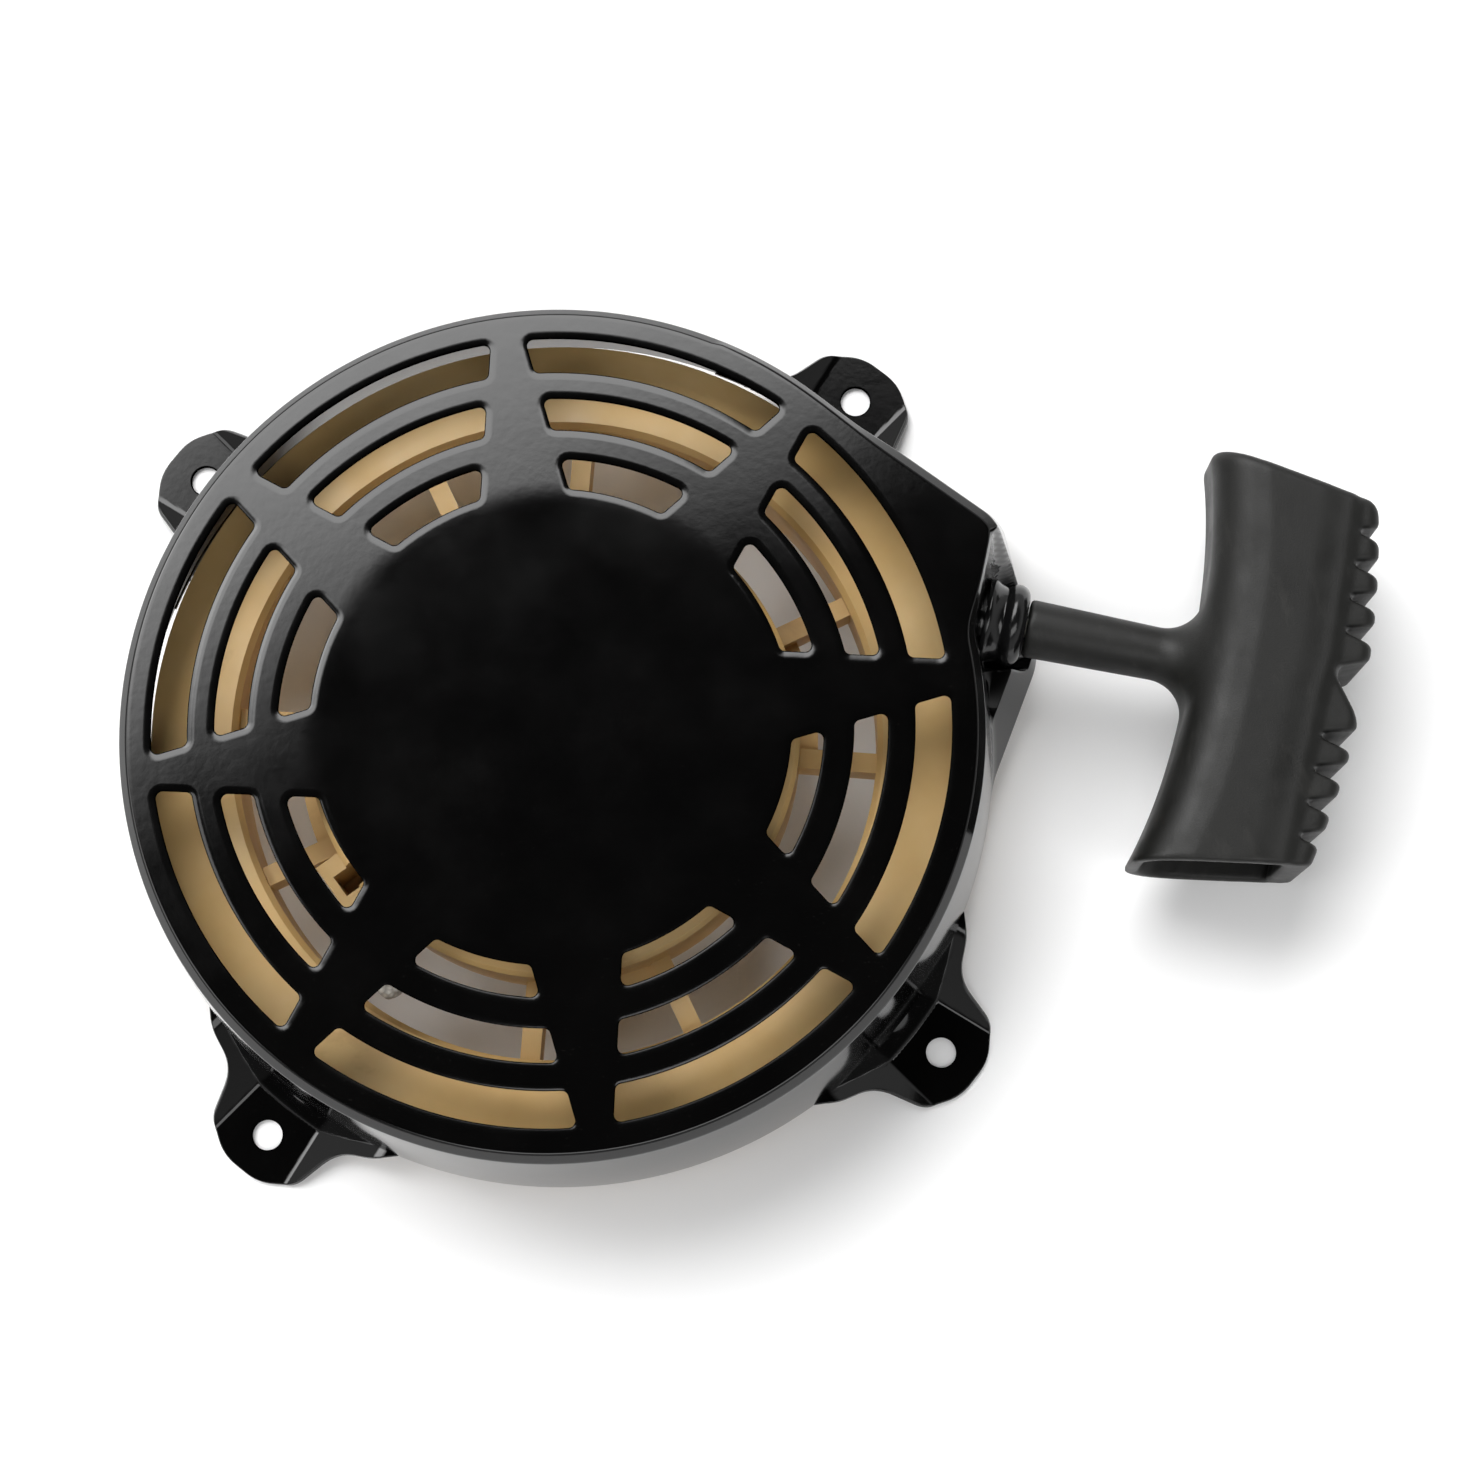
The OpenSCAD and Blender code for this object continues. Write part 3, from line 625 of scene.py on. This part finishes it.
def near_loops(points, loops, gap):
    """Which points lie closer than gap to a point of any loop."""
    near = np.zeros(len(points), bool)
    for loop in loops:
        loop = np.asarray(loop)
        low, high = loop.min(0) - gap, loop.max(0) + gap
        close = np.where(((points > low) & (points < high)).all(1))[0]
        if len(close):
            apart = np.linalg.norm(points[close][:, None] - loop[None], axis=2).min(1)
            near[close[apart < gap]] = True
    return near


class Sheet:
    """Collects the faces of a sheet-metal piece, with a normal for each point."""

    def __init__(self):
        self.points, self.faces, self.normals = [], [], []

    def add(self, points, faces, normals):
        start = sum(len(p) for p in self.points)
        self.points.append(points)
        self.normals.append(normals)
        self.faces += [tuple(start + i for i in f) for f in faces]

    def grid(self, rows, normals):
        """Quads between rows of points that close on themselves."""
        rows, normals = np.asarray(rows), np.asarray(normals)
        count = rows.shape[1]
        faces = []
        for i in range(len(rows) - 1):
            for j in range(count):
                m = (j + 1) % count
                a, b = i * count, (i + 1) * count
                faces.append((a + j, b + j, b + m, a + m))
        self.add(rows.reshape(-1, 3), faces, normals.reshape(-1, 3))

    def plate(self, top, normals, triangles, loops, outs):
        """A sheet's top, its underside, and the eased edge round each of its loops."""
        self.add(top, triangles, normals)
        self.add(top - normals * SHEET, [t[::-1] for t in triangles], -normals)
        for loop, out in zip(loops, outs):
            self.grid(*eased_edge(top[loop], out, normals[loop]))

    def piece(self, name, material):
        points = np.vstack(self.points)
        obj = mesh_piece(name, points, self.faces, material, 180)
        obj.data.normals_split_custom_set_from_vertices(np.vstack(self.normals).tolist())
        return obj


def eased_edge(points, out, normals):
    """Rows of points round the edge of the sheet, from its top to its underside, and
    their normals."""
    rows, facing = [], []
    for side, angles in ((1, (0, 30, 60, 90)), (-1, (90, 60, 30, 0))):
        for a in np.radians(angles):
            drop = EASE * (1 - math.cos(a))
            if side < 0:
                drop = SHEET - drop
            rows.append(points + EASE * out * math.sin(a) - normals * drop)
            facing.append(out * math.sin(a) + side * normals * math.cos(a))
    return rows, facing


def shell_columns():
    """Directions of the wall's columns, closer together round the snout."""
    coarse = np.radians(np.arange(52.0, 336.0, 1.5))
    fine = np.radians(np.arange(-24.0, 52.0, 0.3))
    return np.concatenate([fine, coarse])


def shell_wall(phi, top):
    """The wall's rows, from the face's edge down to the skirt, as [row, column, 3]."""
    line = line_radius(phi)
    shoulder = wall_radius(phi, SHOULDER_Z)
    start = line - 1.1
    heights = np.arange(SKIRT_Z + EASE, 46.6, 0.62)[::-1]
    walls = np.stack([wall_radius(phi, z) for z in heights])
    columns = []
    for j in range(len(phi)):
        a = (start[j], face_z(start[j], top))
        b = (line[j], face_z(line[j], top))
        c = (shoulder[j], SHOULDER_Z)
        d = (walls[0, j], heights[0])
        profile = [np.array([a])]
        profile.append(round_corner(a, b, c, 0.45, 4))
        profile.append(round_corner(b, c, d, 0.35, 4))
        profile.append(np.stack([walls[:, j], heights], 1))
        columns.append(np.vstack(profile))
    rows = np.array(columns).transpose(1, 0, 2)
    r, z = rows[..., 0], rows[..., 1]
    return np.stack([r * np.cos(phi), r * np.sin(phi), z], -1)


def grid_normals(rows):
    """Outward normals of a grid whose rows run down and whose columns run round."""
    down = np.gradient(rows, axis=0)
    round_ = np.roll(rows, -1, 1) - np.roll(rows, 1, 1)
    normal = np.cross(down, round_)
    return normal / np.linalg.norm(normal, axis=2)[..., None]


def loop_outs(loop):
    """Directions in the plan at right angles to a counter-clockwise loop, away from it."""
    along = np.roll(loop, -1, 0) - np.roll(loop, 1, 0)
    out = np.stack([along[:, 1], -along[:, 0]], 1)
    return out / np.linalg.norm(out, axis=1)[:, None]


def ear_outline():
    """Plan outline of an ear, along its diagonal, from one wing round to the other."""
    corners = [(93.4, -28.8), (98.3, -23.8), (102.6, -15.3), (114.6, -12.1), (119.3, -5.2)]
    corners += [(x, -y) for x, y in reversed(corners)]
    reaches = (0, 3.0, 4.5, 2.6, 3.6, 3.6, 2.6, 4.5, 3.0, 0)
    line = [np.array([corners[0]])]
    for i in range(1, len(corners) - 1):
        line.append(round_corner(corners[i - 1], corners[i], corners[i + 1], reaches[i], 8))
    line.append(np.array([corners[-1]]))
    angles = np.radians(np.linspace(17.2, -17.2, 31))
    root = EAR_ROOT_R * np.stack([np.cos(angles), np.sin(angles)], 1)
    return spaced(np.vstack([*line, root]), 1.0)


def spaced(loop, pitch):
    """A closed loop with points added so that none lie further apart than pitch."""
    out = []
    for a, b in zip(loop, np.roll(loop, -1, 0)):
        count = max(1, math.ceil(np.linalg.norm(b - a) / pitch))
        out += [a + (b - a) * i / count for i in range(count)]
    return np.array(out)


def ear_height(p, q):
    """Height of the top of an ear's sheet, p along the diagonal and q across it."""
    pad = np.full_like(p, SHEET)
    half = PAD_HALF_W + (p - PAD_FROM) * PAD_TAPER
    flank = SHEET + FLANK_SLOPE * (np.abs(q) - half)
    gusset = SHEET + GUSSET_SLOPE * (GUSSET_R - np.hypot(p, q))
    z = smooth_max(smooth_max(pad, flank, 0.4), gusset, 0.9)
    return smooth_min(z, np.full_like(p, EAR_TOP_Z), 1.0)


def ears(sheet):
    """The four ears, each a sheet that comes down from the skirt to its flat pad."""
    hole_at = math.hypot(BOLT, BOLT)
    angles = np.linspace(0, 2 * math.pi, 48, endpoint=False)
    circle = np.stack([np.cos(angles), np.sin(angles)], 1)
    hole = np.array([hole_at, 0]) + BOLT_HOLE_R * circle
    outline = ear_outline()
    loops, outs = [outline, hole], [loop_outs(outline), -loop_outs(hole)]
    loops = [loop - out * EASE for loop, out in zip(loops, outs)]
    extra = grid_points(-30.0, 30.0, 0.62) + np.array([108.0, 0.0])
    extra = extra[inside_outline(extra, outline) & ~inside_outline(extra, hole)]
    extra = extra[~near_loops(extra, loops, 0.45)]

    def keep(centres):
        return inside_outline(centres, loops[0]) & ~inside_outline(centres, loops[1])

    plan, triangles, ends = filled(loops, extra, keep)
    p, q = plan[:, 0], plan[:, 1]
    flat = np.column_stack([plan, ear_height(p, q)])
    step = 0.05
    slope = [
        (ear_height(p + a, q + b) - ear_height(p - a, q - b)) / (2 * step)
        for a, b in ((step, 0), (0, step))
    ]
    normals = np.column_stack([-slope[0], -slope[1], np.ones_like(p)])
    normals /= np.linalg.norm(normals, axis=1)[:, None]
    edges = []
    for loop, out in zip(ends, outs):
        n = normals[loop]
        out = np.column_stack([out, np.zeros(len(out))])
        out -= n * (out * n).sum(1)[:, None]
        edges.append(out / np.linalg.norm(out, axis=1)[:, None])
    for k in range(4):
        a = math.radians(45 + 90 * k)
        c, s = math.cos(a), math.sin(a)
        turn = np.array([[c, s, 0], [-s, c, 0], [0, 0, 1]])
        sheet.plate(flat @ turn, normals @ turn, triangles, ends, [e @ turn for e in edges])


def nearest_edge(points, holes):
    """How far each point is from the nearest hole's edge, and the way towards it."""
    edge = np.vstack(holes)
    gap, towards = np.empty(len(points)), np.empty((len(points), 2))
    batch = 500
    for start in range(0, len(points), batch):
        here = slice(start, start + batch)
        apart = edge[None] - points[here, None]
        far = np.linalg.norm(apart, axis=2)
        best = far.argmin(1)
        rows = np.arange(len(best))
        gap[here] = far[rows, best]
        towards[here] = apart[rows, best] / np.maximum(far[rows, best], 1e-9)[:, None]
    return gap, towards


def face(sheet, edge, top):
    """The face: a flat middle and the louvred ring round it, out to the wall's start."""
    holes, outs = [], []
    for k in range(SPOKES):
        a = 2 * math.pi * k / SPOKES
        turn = np.array([[math.cos(a), math.sin(a)], [-math.sin(a), math.cos(a)]])
        for low, high in RINGS:
            hole = spaced(np.array(slot_outline(low, high)) @ turn, 1.0)
            out = -loop_outs(hole)
            holes.append(hole - out * EASE)
            outs.append(np.column_stack([out, np.zeros(len(out))]))
    rolls = []
    for hole, out in zip(holes, outs):
        rolls += [hole - out[:, :2] * d for d in ROLL_STEPS]
    rings = []
    for radius in (8.0, 20.0, 32.0, 42.0, 47.0, 49.0, 49.8, 50.6, 51.4):
        angles = np.linspace(0, 2 * math.pi, max(12, int(radius * 2.8)), endpoint=False)
        rings.append(radius * np.stack([np.cos(angles), np.sin(angles)], 1))
    extra = grid_points(-112.0, 112.0, 2.4)
    radius = np.hypot(extra[:, 0], extra[:, 1])
    extra = extra[(radius > 52.2) & inside_outline(extra, edge)]
    extra = extra[~near_loops(extra, [edge, *holes], ROLL + 0.8)]
    for hole in holes:
        extra = extra[~inside_outline(extra, hole)]
    extra = np.vstack([extra, *rings, *rolls])

    def keep(centres):
        good = inside_outline(centres, edge)
        for hole in holes:
            good &= ~inside_outline(centres, hole)
        return good

    plan, triangles, ends = filled([edge, *holes], extra, keep)
    radius = np.hypot(plan[:, 0], plan[:, 1])
    gap, towards = nearest_edge(plan, holes)
    short = np.maximum(1 - gap / ROLL, 0)
    z = face_z(radius, top) - ROLL_DEPTH * short**2
    tilt = CONE_SLOPE * np.clip((radius - FLAT_R) / (CONE_R - FLAT_R), 0, 1)
    tilt /= np.maximum(radius, 1.0)
    lean = plan * tilt[:, None] + towards * (2 * ROLL_DEPTH / ROLL * short)[:, None]
    for loop, out in zip(ends[1:], outs):
        lean[loop] = plan[loop] * tilt[loop, None] + out[:, :2] * 2 * ROLL_DEPTH / ROLL
    normals = np.column_stack([lean, np.ones_like(tilt)])
    normals /= np.linalg.norm(normals, axis=1)[:, None]
    sheet.plate(np.column_stack([plan, z]), normals, triangles, ends[1:], outs)


def housing_shell(material, top):
    """The whole pressing: one sheet of an even thickness, with all its edges eased."""
    sheet = Sheet()
    wall = shell_wall(shell_columns(), top)
    normals = grid_normals(wall)
    outward = wall[0] / np.hypot(wall[0, :, 0], wall[0, :, 1])[:, None]
    normals[0] = outward * CONE_SLOPE * (1, 1, 0) + (0, 0, 1)
    down = wall[-1] - wall[-2]
    down /= np.linalg.norm(down, axis=1)[:, None]
    rim, rim_normals = eased_edge(wall[-1], down, normals[-1])
    inside = (wall - normals * SHEET)[::-1]
    sheet.grid([*wall, *rim[1:-1], *inside], [*normals, *rim_normals[1:-1], *-normals[::-1]])
    face(sheet, wall[0, :, :2], top)
    ears(sheet)
    obj = sheet.piece("housing_shell", material)
    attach(obj, "housing")
    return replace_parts(obj, "housing")


# ------------------------------------------------------------------------------ grip


def near_face(v):
    """The bar's near side, bowed away from the hand at both ends."""
    return 136.1 - 4.8 * (np.abs(v) / 44.4) ** 2.6


def far_face(v):
    """The tips of the teeth."""
    return 173.2 - 4.2 * (np.abs(v) / 40.0) ** 2


def far_body(v):
    """The bar's far side, behind the teeth."""
    return 167.2 - 0.03 * np.abs(v) - 1.0 * smooth_step(-v, -6.0, 6.0)


def rounded_box(a, b, half_a, half_b, r):
    """Signed distance to a rectangle with round corners."""
    da = np.abs(a) - (half_a - r)
    db = np.abs(b) - (half_b - r)
    outside = np.hypot(np.maximum(da, 0), np.maximum(db, 0))
    return outside + np.minimum(np.maximum(da, db), 0) - r


def bar_section(u, v, w, wall_near, wall_far, wall_up):
    """Signed distance to the bar's long surface, taken in by a wall on each side."""
    low = near_face(v) + wall_near
    high = far_body(v) - wall_far
    half_h = BAR_HALF_H - wall_up
    broad = rounded_box(u - (low + high) / 2, w, (high - low) / 2, half_h, 10.5 - wall_up)
    low = low + 9.0
    square = rounded_box(u - (low + high) / 2, w, (high - low) / 2, half_h, 3.4 - wall_up / 2)
    return smooth_min(broad, square, 1.5)


def finger_grooves(u, v):
    """Signed distance to the slots between the teeth and the notch in the middle."""
    distance = np.full_like(u, 1e3)
    for i in range(4):
        for at in (UPPER_GAP + TOOTH_PITCH * i, LOWER_GAP - TOOTH_PITCH * i):
            root = far_body(np.array(at)) - 0.4
            wedge = (np.abs(v - at) - TOOTH_GAP) * 0.968 - (u - root) * 0.25
            distance = np.minimum(distance, wedge)
    upper = (v - 2.0) * 0.94 - (u - NOTCH_ROOT) * 0.34
    lower = (0.2 - v) * 0.6 - (u - NOTCH_ROOT) * 0.8
    return np.minimum(distance, np.maximum(upper, lower))


def grip_teeth(u, v, w):
    """Signed distance to the row of teeth along the bar's far side."""
    low, high = TEETH_FROM, far_face(v)
    row = rounded_box(u - (low + high) / 2, w, (high - low) / 2, TEETH_HALF_H, 2.6)
    return smooth_max(row, -finger_grooves(u, v), 1.3)


def grip_distance(u, v, w):
    """Signed distance to the grip: bar, teeth, stem and fillet, less the hollow."""
    bar = bar_section(u, v, w, 0.0, 0.0, 0.0)
    bar = smooth_min(bar, grip_teeth(u, v, w), 0.8)
    upper = v - (BAR_TOP - 0.17 * (u - BAR_MIDDLE))
    lower = -v - (BAR_FOOT - 0.16 * (u - BAR_MIDDLE))
    bar = smooth_max(bar, upper, 3.2)
    bar = smooth_max(bar, lower, 1.2)
    across = np.hypot(v, w)
    stem = across - (STEM_R - 0.019 * (u - 101.0))
    stem = smooth_max(stem, STEM_START - u, 1.2)
    stem = smooth_max(stem, u - BORE_END, 1.0)
    r = FILLET_R
    joined = np.maximum(r, np.minimum(bar, stem)) - np.hypot(
        np.maximum(r - bar, 0), np.maximum(r - stem, 0)
    )
    whole = np.where(upper < 2, joined, bar)
    hollow = bar_section(u, v, w, *BAR_WALLS)
    hollow = smooth_max(hollow, v - (HOLLOW_TOP - 0.15 * (u - BAR_MIDDLE)), 2.0)
    whole = smooth_max(whole, -hollow, 1.1)
    bore = np.maximum(across - BORE_R, u - BORE_END)
    return smooth_max(whole, -bore, 0.6)


def surface_of(distance, low, high, pitch):
    """Quads on the zero of a distance function: a point for each cell that it crosses,
    moved onto the surface itself."""
    axes = [np.arange(a, b + pitch, pitch) for a, b in zip(low, high)]
    u, v, w = np.meshgrid(*axes, indexing="ij")
    field = distance(u, v, w)
    solid = field < 0
    cell = np.zeros(tuple(s - 1 for s in field.shape), int)
    for i in (0, 1):
        for j in (0, 1):
            for k in (0, 1):
                part = solid[i : field.shape[0] - 1 + i, j : field.shape[1] - 1 + j]
                cell += part[:, :, k : field.shape[2] - 1 + k]
    mixed = (cell > 0) & (cell < 8)
    index = np.full(cell.shape, -1)
    index[mixed] = np.arange(mixed.sum())
    at = np.argwhere(mixed)
    points = np.stack([axes[d][at[:, d]] + pitch / 2 for d in range(3)], 1)
    faces = []
    for d in range(3):
        e, f = (d + 1) % 3, (d + 2) % 3
        near = np.take(solid, range(solid.shape[d] - 1), d)
        past = np.take(solid, range(1, solid.shape[d]), d)
        for flip, crossing in ((False, near & ~past), (True, ~near & past)):
            q = np.argwhere(crossing)
            q = q[(q[:, e] > 0) & (q[:, f] > 0)]
            corners = []
            for de, df in ((0, 0), (1, 0), (1, 1), (0, 1)):
                c = q.copy()
                c[:, e] -= de
                c[:, f] -= df
                corners.append(index[c[:, 0], c[:, 1], c[:, 2]])
            quad = np.stack(corners, 1)
            if flip:
                quad = quad[:, ::-1]
            faces.append(quad)
    faces = np.vstack(faces)
    points = relaxed(points, faces, distance, pitch)
    return points, [tuple(int(i) for i in f) for f in faces]


def relaxed(points, faces, distance, pitch):
    """Evens out the points of a surface mesh and moves them onto the surface."""
    pairs = np.vstack([faces[:, [i, (i + 1) % 4]] for i in range(4)])
    pairs = np.vstack([pairs, pairs[:, ::-1]])
    count = np.bincount(pairs[:, 0], minlength=len(points))[:, None]
    for turn in range(5):
        if turn < 3:
            total = np.zeros_like(points)
            np.add.at(total, pairs[:, 0], points[pairs[:, 1]])
            points = points * 0.4 + total / np.maximum(count, 1) * 0.6
        step = pitch * 0.05
        for _ in range(2):
            here = distance(*points.T)
            slope = np.stack(
                [
                    distance(*(points + step * np.eye(3)[d]).T)
                    - distance(*(points - step * np.eye(3)[d]).T)
                    for d in range(3)
                ],
                1,
            ) / (2 * step)
            size = np.maximum((slope**2).sum(1), 0.2)
            move = -here / size
            points = points + np.clip(move, -pitch, pitch)[:, None] * slope
    return points


def grip_body(material):
    """The grip in one mesh, from its bar, teeth, stem and hollow."""
    points, faces = surface_of(grip_distance, (96.5, -50.5, -18.0), (175.0, 51.0, 18.0), 0.7)
    obj = mesh_piece("grip_body", to_pull_frame(points), faces, material, 60)
    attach(obj, "grip")
    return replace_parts(obj, "grip")


# ------------------------------------------------------------------------------ rope


def coil_path():
    """Rope round the pulley's groove: two turns side by side, then two on top."""
    points, per_turn, crossing = [], 90, 14
    for i in range(len(LANES) * per_turn - 6):
        turn, part = divmod(i, per_turn)
        a = math.radians(COIL_START) + 2 * math.pi * part / per_turn
        r, z = LANES[turn]
        if turn < len(LANES) - 1 and part > per_turn - crossing:
            t = float(smooth_step(np.array(part), per_turn - crossing, per_turn))
            r += (LANES[turn + 1][0] - r) * t
            z += (LANES[turn + 1][1] - z) * t
        points.append((r * math.cos(a), r * math.sin(a), z))
    return points


def lead_path():
    """From the coil to the guide: round the coil, straight on, and round a bend."""
    c, s = math.cos(PULL), math.sin(PULL)
    corner = np.array([BEND_AT * c - PULL_OFFSET * s, BEND_AT * s + PULL_OFFSET * c])
    leave = math.atan2(corner[1], corner[0]) + math.acos(LEAD_R / np.linalg.norm(corner))
    turn = PULL - (leave - math.pi / 2)
    cut = BEND_R * math.tan(turn / 2)
    ahead = np.array([-math.sin(leave), math.cos(leave)])
    start = corner + cut * ahead
    centre = start + BEND_R * np.array([math.cos(leave), math.sin(leave)])
    points = []
    for t in np.linspace(1, 0, 24):
        a = leave + LEAD_WRAP * t
        points.append((LEAD_R * math.cos(a), LEAD_R * math.sin(a), ROPE_Z))
    last = np.array(points[-1][:2])
    points += [(*(last + (start - last) * t), ROPE_Z) for t in np.linspace(0.1, 0.9, 12)]
    for t in np.linspace(0, 1, 14):
        a = leave + math.pi + turn * t
        points.append((*(centre + BEND_R * np.array([math.cos(a), math.sin(a)])), ROPE_Z))
    out = GUIDE_FACE - 3.0
    end = np.array([out * c - PULL_OFFSET * s, out * s + PULL_OFFSET * c])
    last = np.array(points[-1][:2])
    points += [(*(last + (end - last) * t), ROPE_Z) for t in (0.5, 1.0)]
    return points


def knot_path(size):
    """A trefoil, pulled short along its own axis, as a tight overhand knot."""
    points, wide, deep = [], 0.36 * size, 0.42 * size
    for t in np.linspace(0, 2 * math.pi, 90, endpoint=False):
        x = math.sin(t) + 2 * math.sin(2 * t)
        y = math.cos(t) - 2 * math.cos(2 * t)
        points.append((-math.sin(3 * t) * deep, x * wide, y * wide))
    return points


def rope_pieces(material):
    """The rope: its coil, its way to the guide, the run to the grip, and its two knots."""

    def add(name, path, radius, body, node, closed=False, place=None):
        points, faces = tube(path, radius, 14, closed)
        if place is not None:
            points = place(np.array(points))
        obj = mesh_piece(name, points, faces, material, 50)
        if body:
            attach(obj, body)
        if node:
            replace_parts(obj, node)
        return obj

    add("rope_turns", coil_path(), ROPE_R - 0.03, "pulley", "rope_coil")
    add("rope_to_guide", lead_path(), ROPE_R - 0.02, "housing", "rope_lead")
    inner = [(u, 0.0, 0.0) for u in np.linspace(101.0, 143.6, 60)]
    add("rope_in_stem", inner, ROPE_R, "grip", "rope_in_grip", place=to_pull_frame)
    run = [(u, 0.0, 0.0) for u in np.linspace(93.0, 101.5, 120)]
    stretch = add("rope_run", run, ROPE_R - 0.01, None, None, place=to_pull_frame)
    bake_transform(stretch)

    def middle(node):
        low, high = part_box(node)
        return np.array((low + high) / 2) / MM

    def at_grip(points):
        turned = to_pull_frame(points) - to_pull_frame([(0.0, 0.0, 0.0)])
        return turned + middle("grip_knot")

    def at_pulley(points):
        at = middle("pulley_knot")
        a = math.atan2(at[1], at[0])
        c, s = math.cos(a), math.sin(a)
        turned = points @ np.array([[c, s, 0], [-s, c, 0], [0, 0, 1]])
        return turned + at - np.array([2.6 * c, 2.6 * s, 0.0])

    add("knot_in_grip", knot_path(3.3), 1.75, "grip", "grip_knot", True, at_grip)
    add("knot_in_pulley", knot_path(2.6), 1.5, "pulley", "pulley_knot", True, at_pulley)


# ----------------------------------------------------------------------------- guide


def rope_guide(material):
    """The guide's ring: a fat lip that sweeps out to its seat, and a swaged back."""
    seat = SEAT_D
    lip = [
        (LIP_AT + LIP_R * math.cos(a), GUIDE_FACE - LIP_R + LIP_R * math.sin(a))
        for a in np.radians(np.linspace(-50, 196, 30))
    ]
    profile = lip + [(3.4, GUIDE_FACE - 4.7), (3.2, GUIDE_FACE - 6.5), (3.35, seat + 1.0)]
    profile += [(3.6, seat - 1.6), (5.0, seat - 3.6), (7.2, seat - 4.2), (8.6, seat - 3.6)]
    profile += [(8.7, seat - 2.6), (7.4, seat - 2.2), (7.35, seat - 0.3), (9.4, seat - 0.1)]
    profile += [(9.75, seat + 0.6), (9.65, seat + 1.2), (9.2, seat + 1.8), (8.75, seat + 2.4)]
    profile += [(8.4, seat + 3.2), (8.2, seat + 3.9)]
    points, faces = lathe(profile[::-1], 72)
    turned = [(z, x, y) for x, y, z in points]
    obj = mesh_piece("guide_ring", to_pull_frame(turned), faces, material, 50)
    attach(obj, "housing")
    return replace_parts(obj, "rope_guide")


# ----------------------------------------------------------------- floor, light, camera


def floor(low):
    """A plain pale floor under the part."""
    n = Nodes("floor_white")
    colour = n.mix(n.noise(3, 2), (0.93, 0.93, 0.93), (0.96, 0.96, 0.96))
    n.set(Specular_IOR_Level=0.1)
    material = n.finish(colour, n.span(n.noise(8, 2), 0.8, 0.9))
    z = low.z / MM - 0.05
    half = 6000
    corners = [(-1, -1), (1, -1), (1, 1), (-1, 1)]
    points = [(x * half, y * half, z) for x, y in corners]
    obj = mesh_piece("floor", points, [(0, 1, 2, 3)], material)


def studio():
    """A pale surround that is dark overhead, with a broad soft box on one side and a lamp
    on each of two others."""
    world = bpy.data.worlds.new("studio")
    bpy.context.scene.world = world
    world.use_nodes = True
    tree = world.node_tree

    def add(kind, **values):
        node = tree.nodes.new(kind)
        for key, value in values.items():
            setattr(node, key, value)
        return node

    def maths(operation, a, b):
        node = add("ShaderNodeMath", operation=operation)
        for socket, value in zip(node.inputs, (a, b)):
            if isinstance(value, (int, float)):
                socket.default_value = value
            else:
                tree.links.new(value, socket)
        return node.outputs[0]

    def step(value, low, high):
        node = add("ShaderNodeMapRange", interpolation_type="SMOOTHSTEP")
        node.inputs["From Min"].default_value = low
        node.inputs["From Max"].default_value = high
        tree.links.new(value, node.inputs["Value"])
        return node.outputs["Result"]

    split = add("ShaderNodeSeparateXYZ")
    tree.links.new(add("ShaderNodeTexCoord").outputs["Generated"], split.inputs[0])
    x, y, z = split.outputs
    around = maths("ARCTAN2", y, x)
    pale = maths("SUBTRACT", 1.0, step(z, 0.45, 0.82))
    tall = maths("MULTIPLY", step(z, 0.52, 0.6), maths("SUBTRACT", 1.0, step(z, 0.925, 0.963)))
    ends = [math.radians(a) for a in (66, 76, 140, 156)]
    wide = maths("SUBTRACT", step(around, ends[0], ends[1]), step(around, ends[2], ends[3]))
    box = maths("MULTIPLY", maths("MULTIPLY", tall, wide), SOFT_BOX)
    sky = maths("ADD", maths("MULTIPLY", pale, SURROUND), OVERHEAD)
    background = tree.nodes["Background"]
    background.inputs["Color"].default_value = (1.0, 1.0, 1.0, 1.0)
    tree.links.new(maths("ADD", sky, box), background.inputs["Strength"])

    for name, side, height, energy in LAMPS:
        data = bpy.data.lights.new(name, "AREA")
        data.shape = "RECTANGLE"
        data.size, data.size_y = 1.7, 0.8
        data.energy = energy
        lamp = bpy.data.objects.new(name, data)
        side, height = math.radians(side), math.radians(height)
        flat = math.cos(height)
        away = (math.cos(side) * flat, math.sin(side) * flat, math.sin(height))
        lamp.location = tuple(2.0 * c for c in away)
        lamp.rotation_euler = Vector(away).to_track_quat("Z", "Y").to_euler()
        bpy.context.scene.collection.objects.link(lamp)


def camera():
    """From a little in front of straight above, at the picture's distance and angle."""
    data = bpy.data.cameras.new("camera")
    data.sensor_width = 36.0
    data.lens = CAMERA_LENS
    data.clip_start, data.clip_end = 0.05, 20.0
    obj = bpy.data.objects.new("camera", data)
    obj.location = CAMERA_AT
    obj.rotation_euler = Euler([math.radians(x) for x in CAMERA_TURN], "XYZ")
    bpy.context.scene.collection.objects.link(obj)
    bpy.context.scene.camera = obj


def main():
    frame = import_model()
    camera()
    materials = make_materials()
    dress_nodes(frame, materials)
    low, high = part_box("housing")
    housing_shell(materials["housing_enamel"], high.z / MM)
    grip_body(materials["grip_rubber"])
    rope_guide(materials["guide_black"])
    rope_pieces(materials["rope"])
    floor(low)
    studio()
    bpy.context.scene.view_settings.view_transform = "Standard"


main()
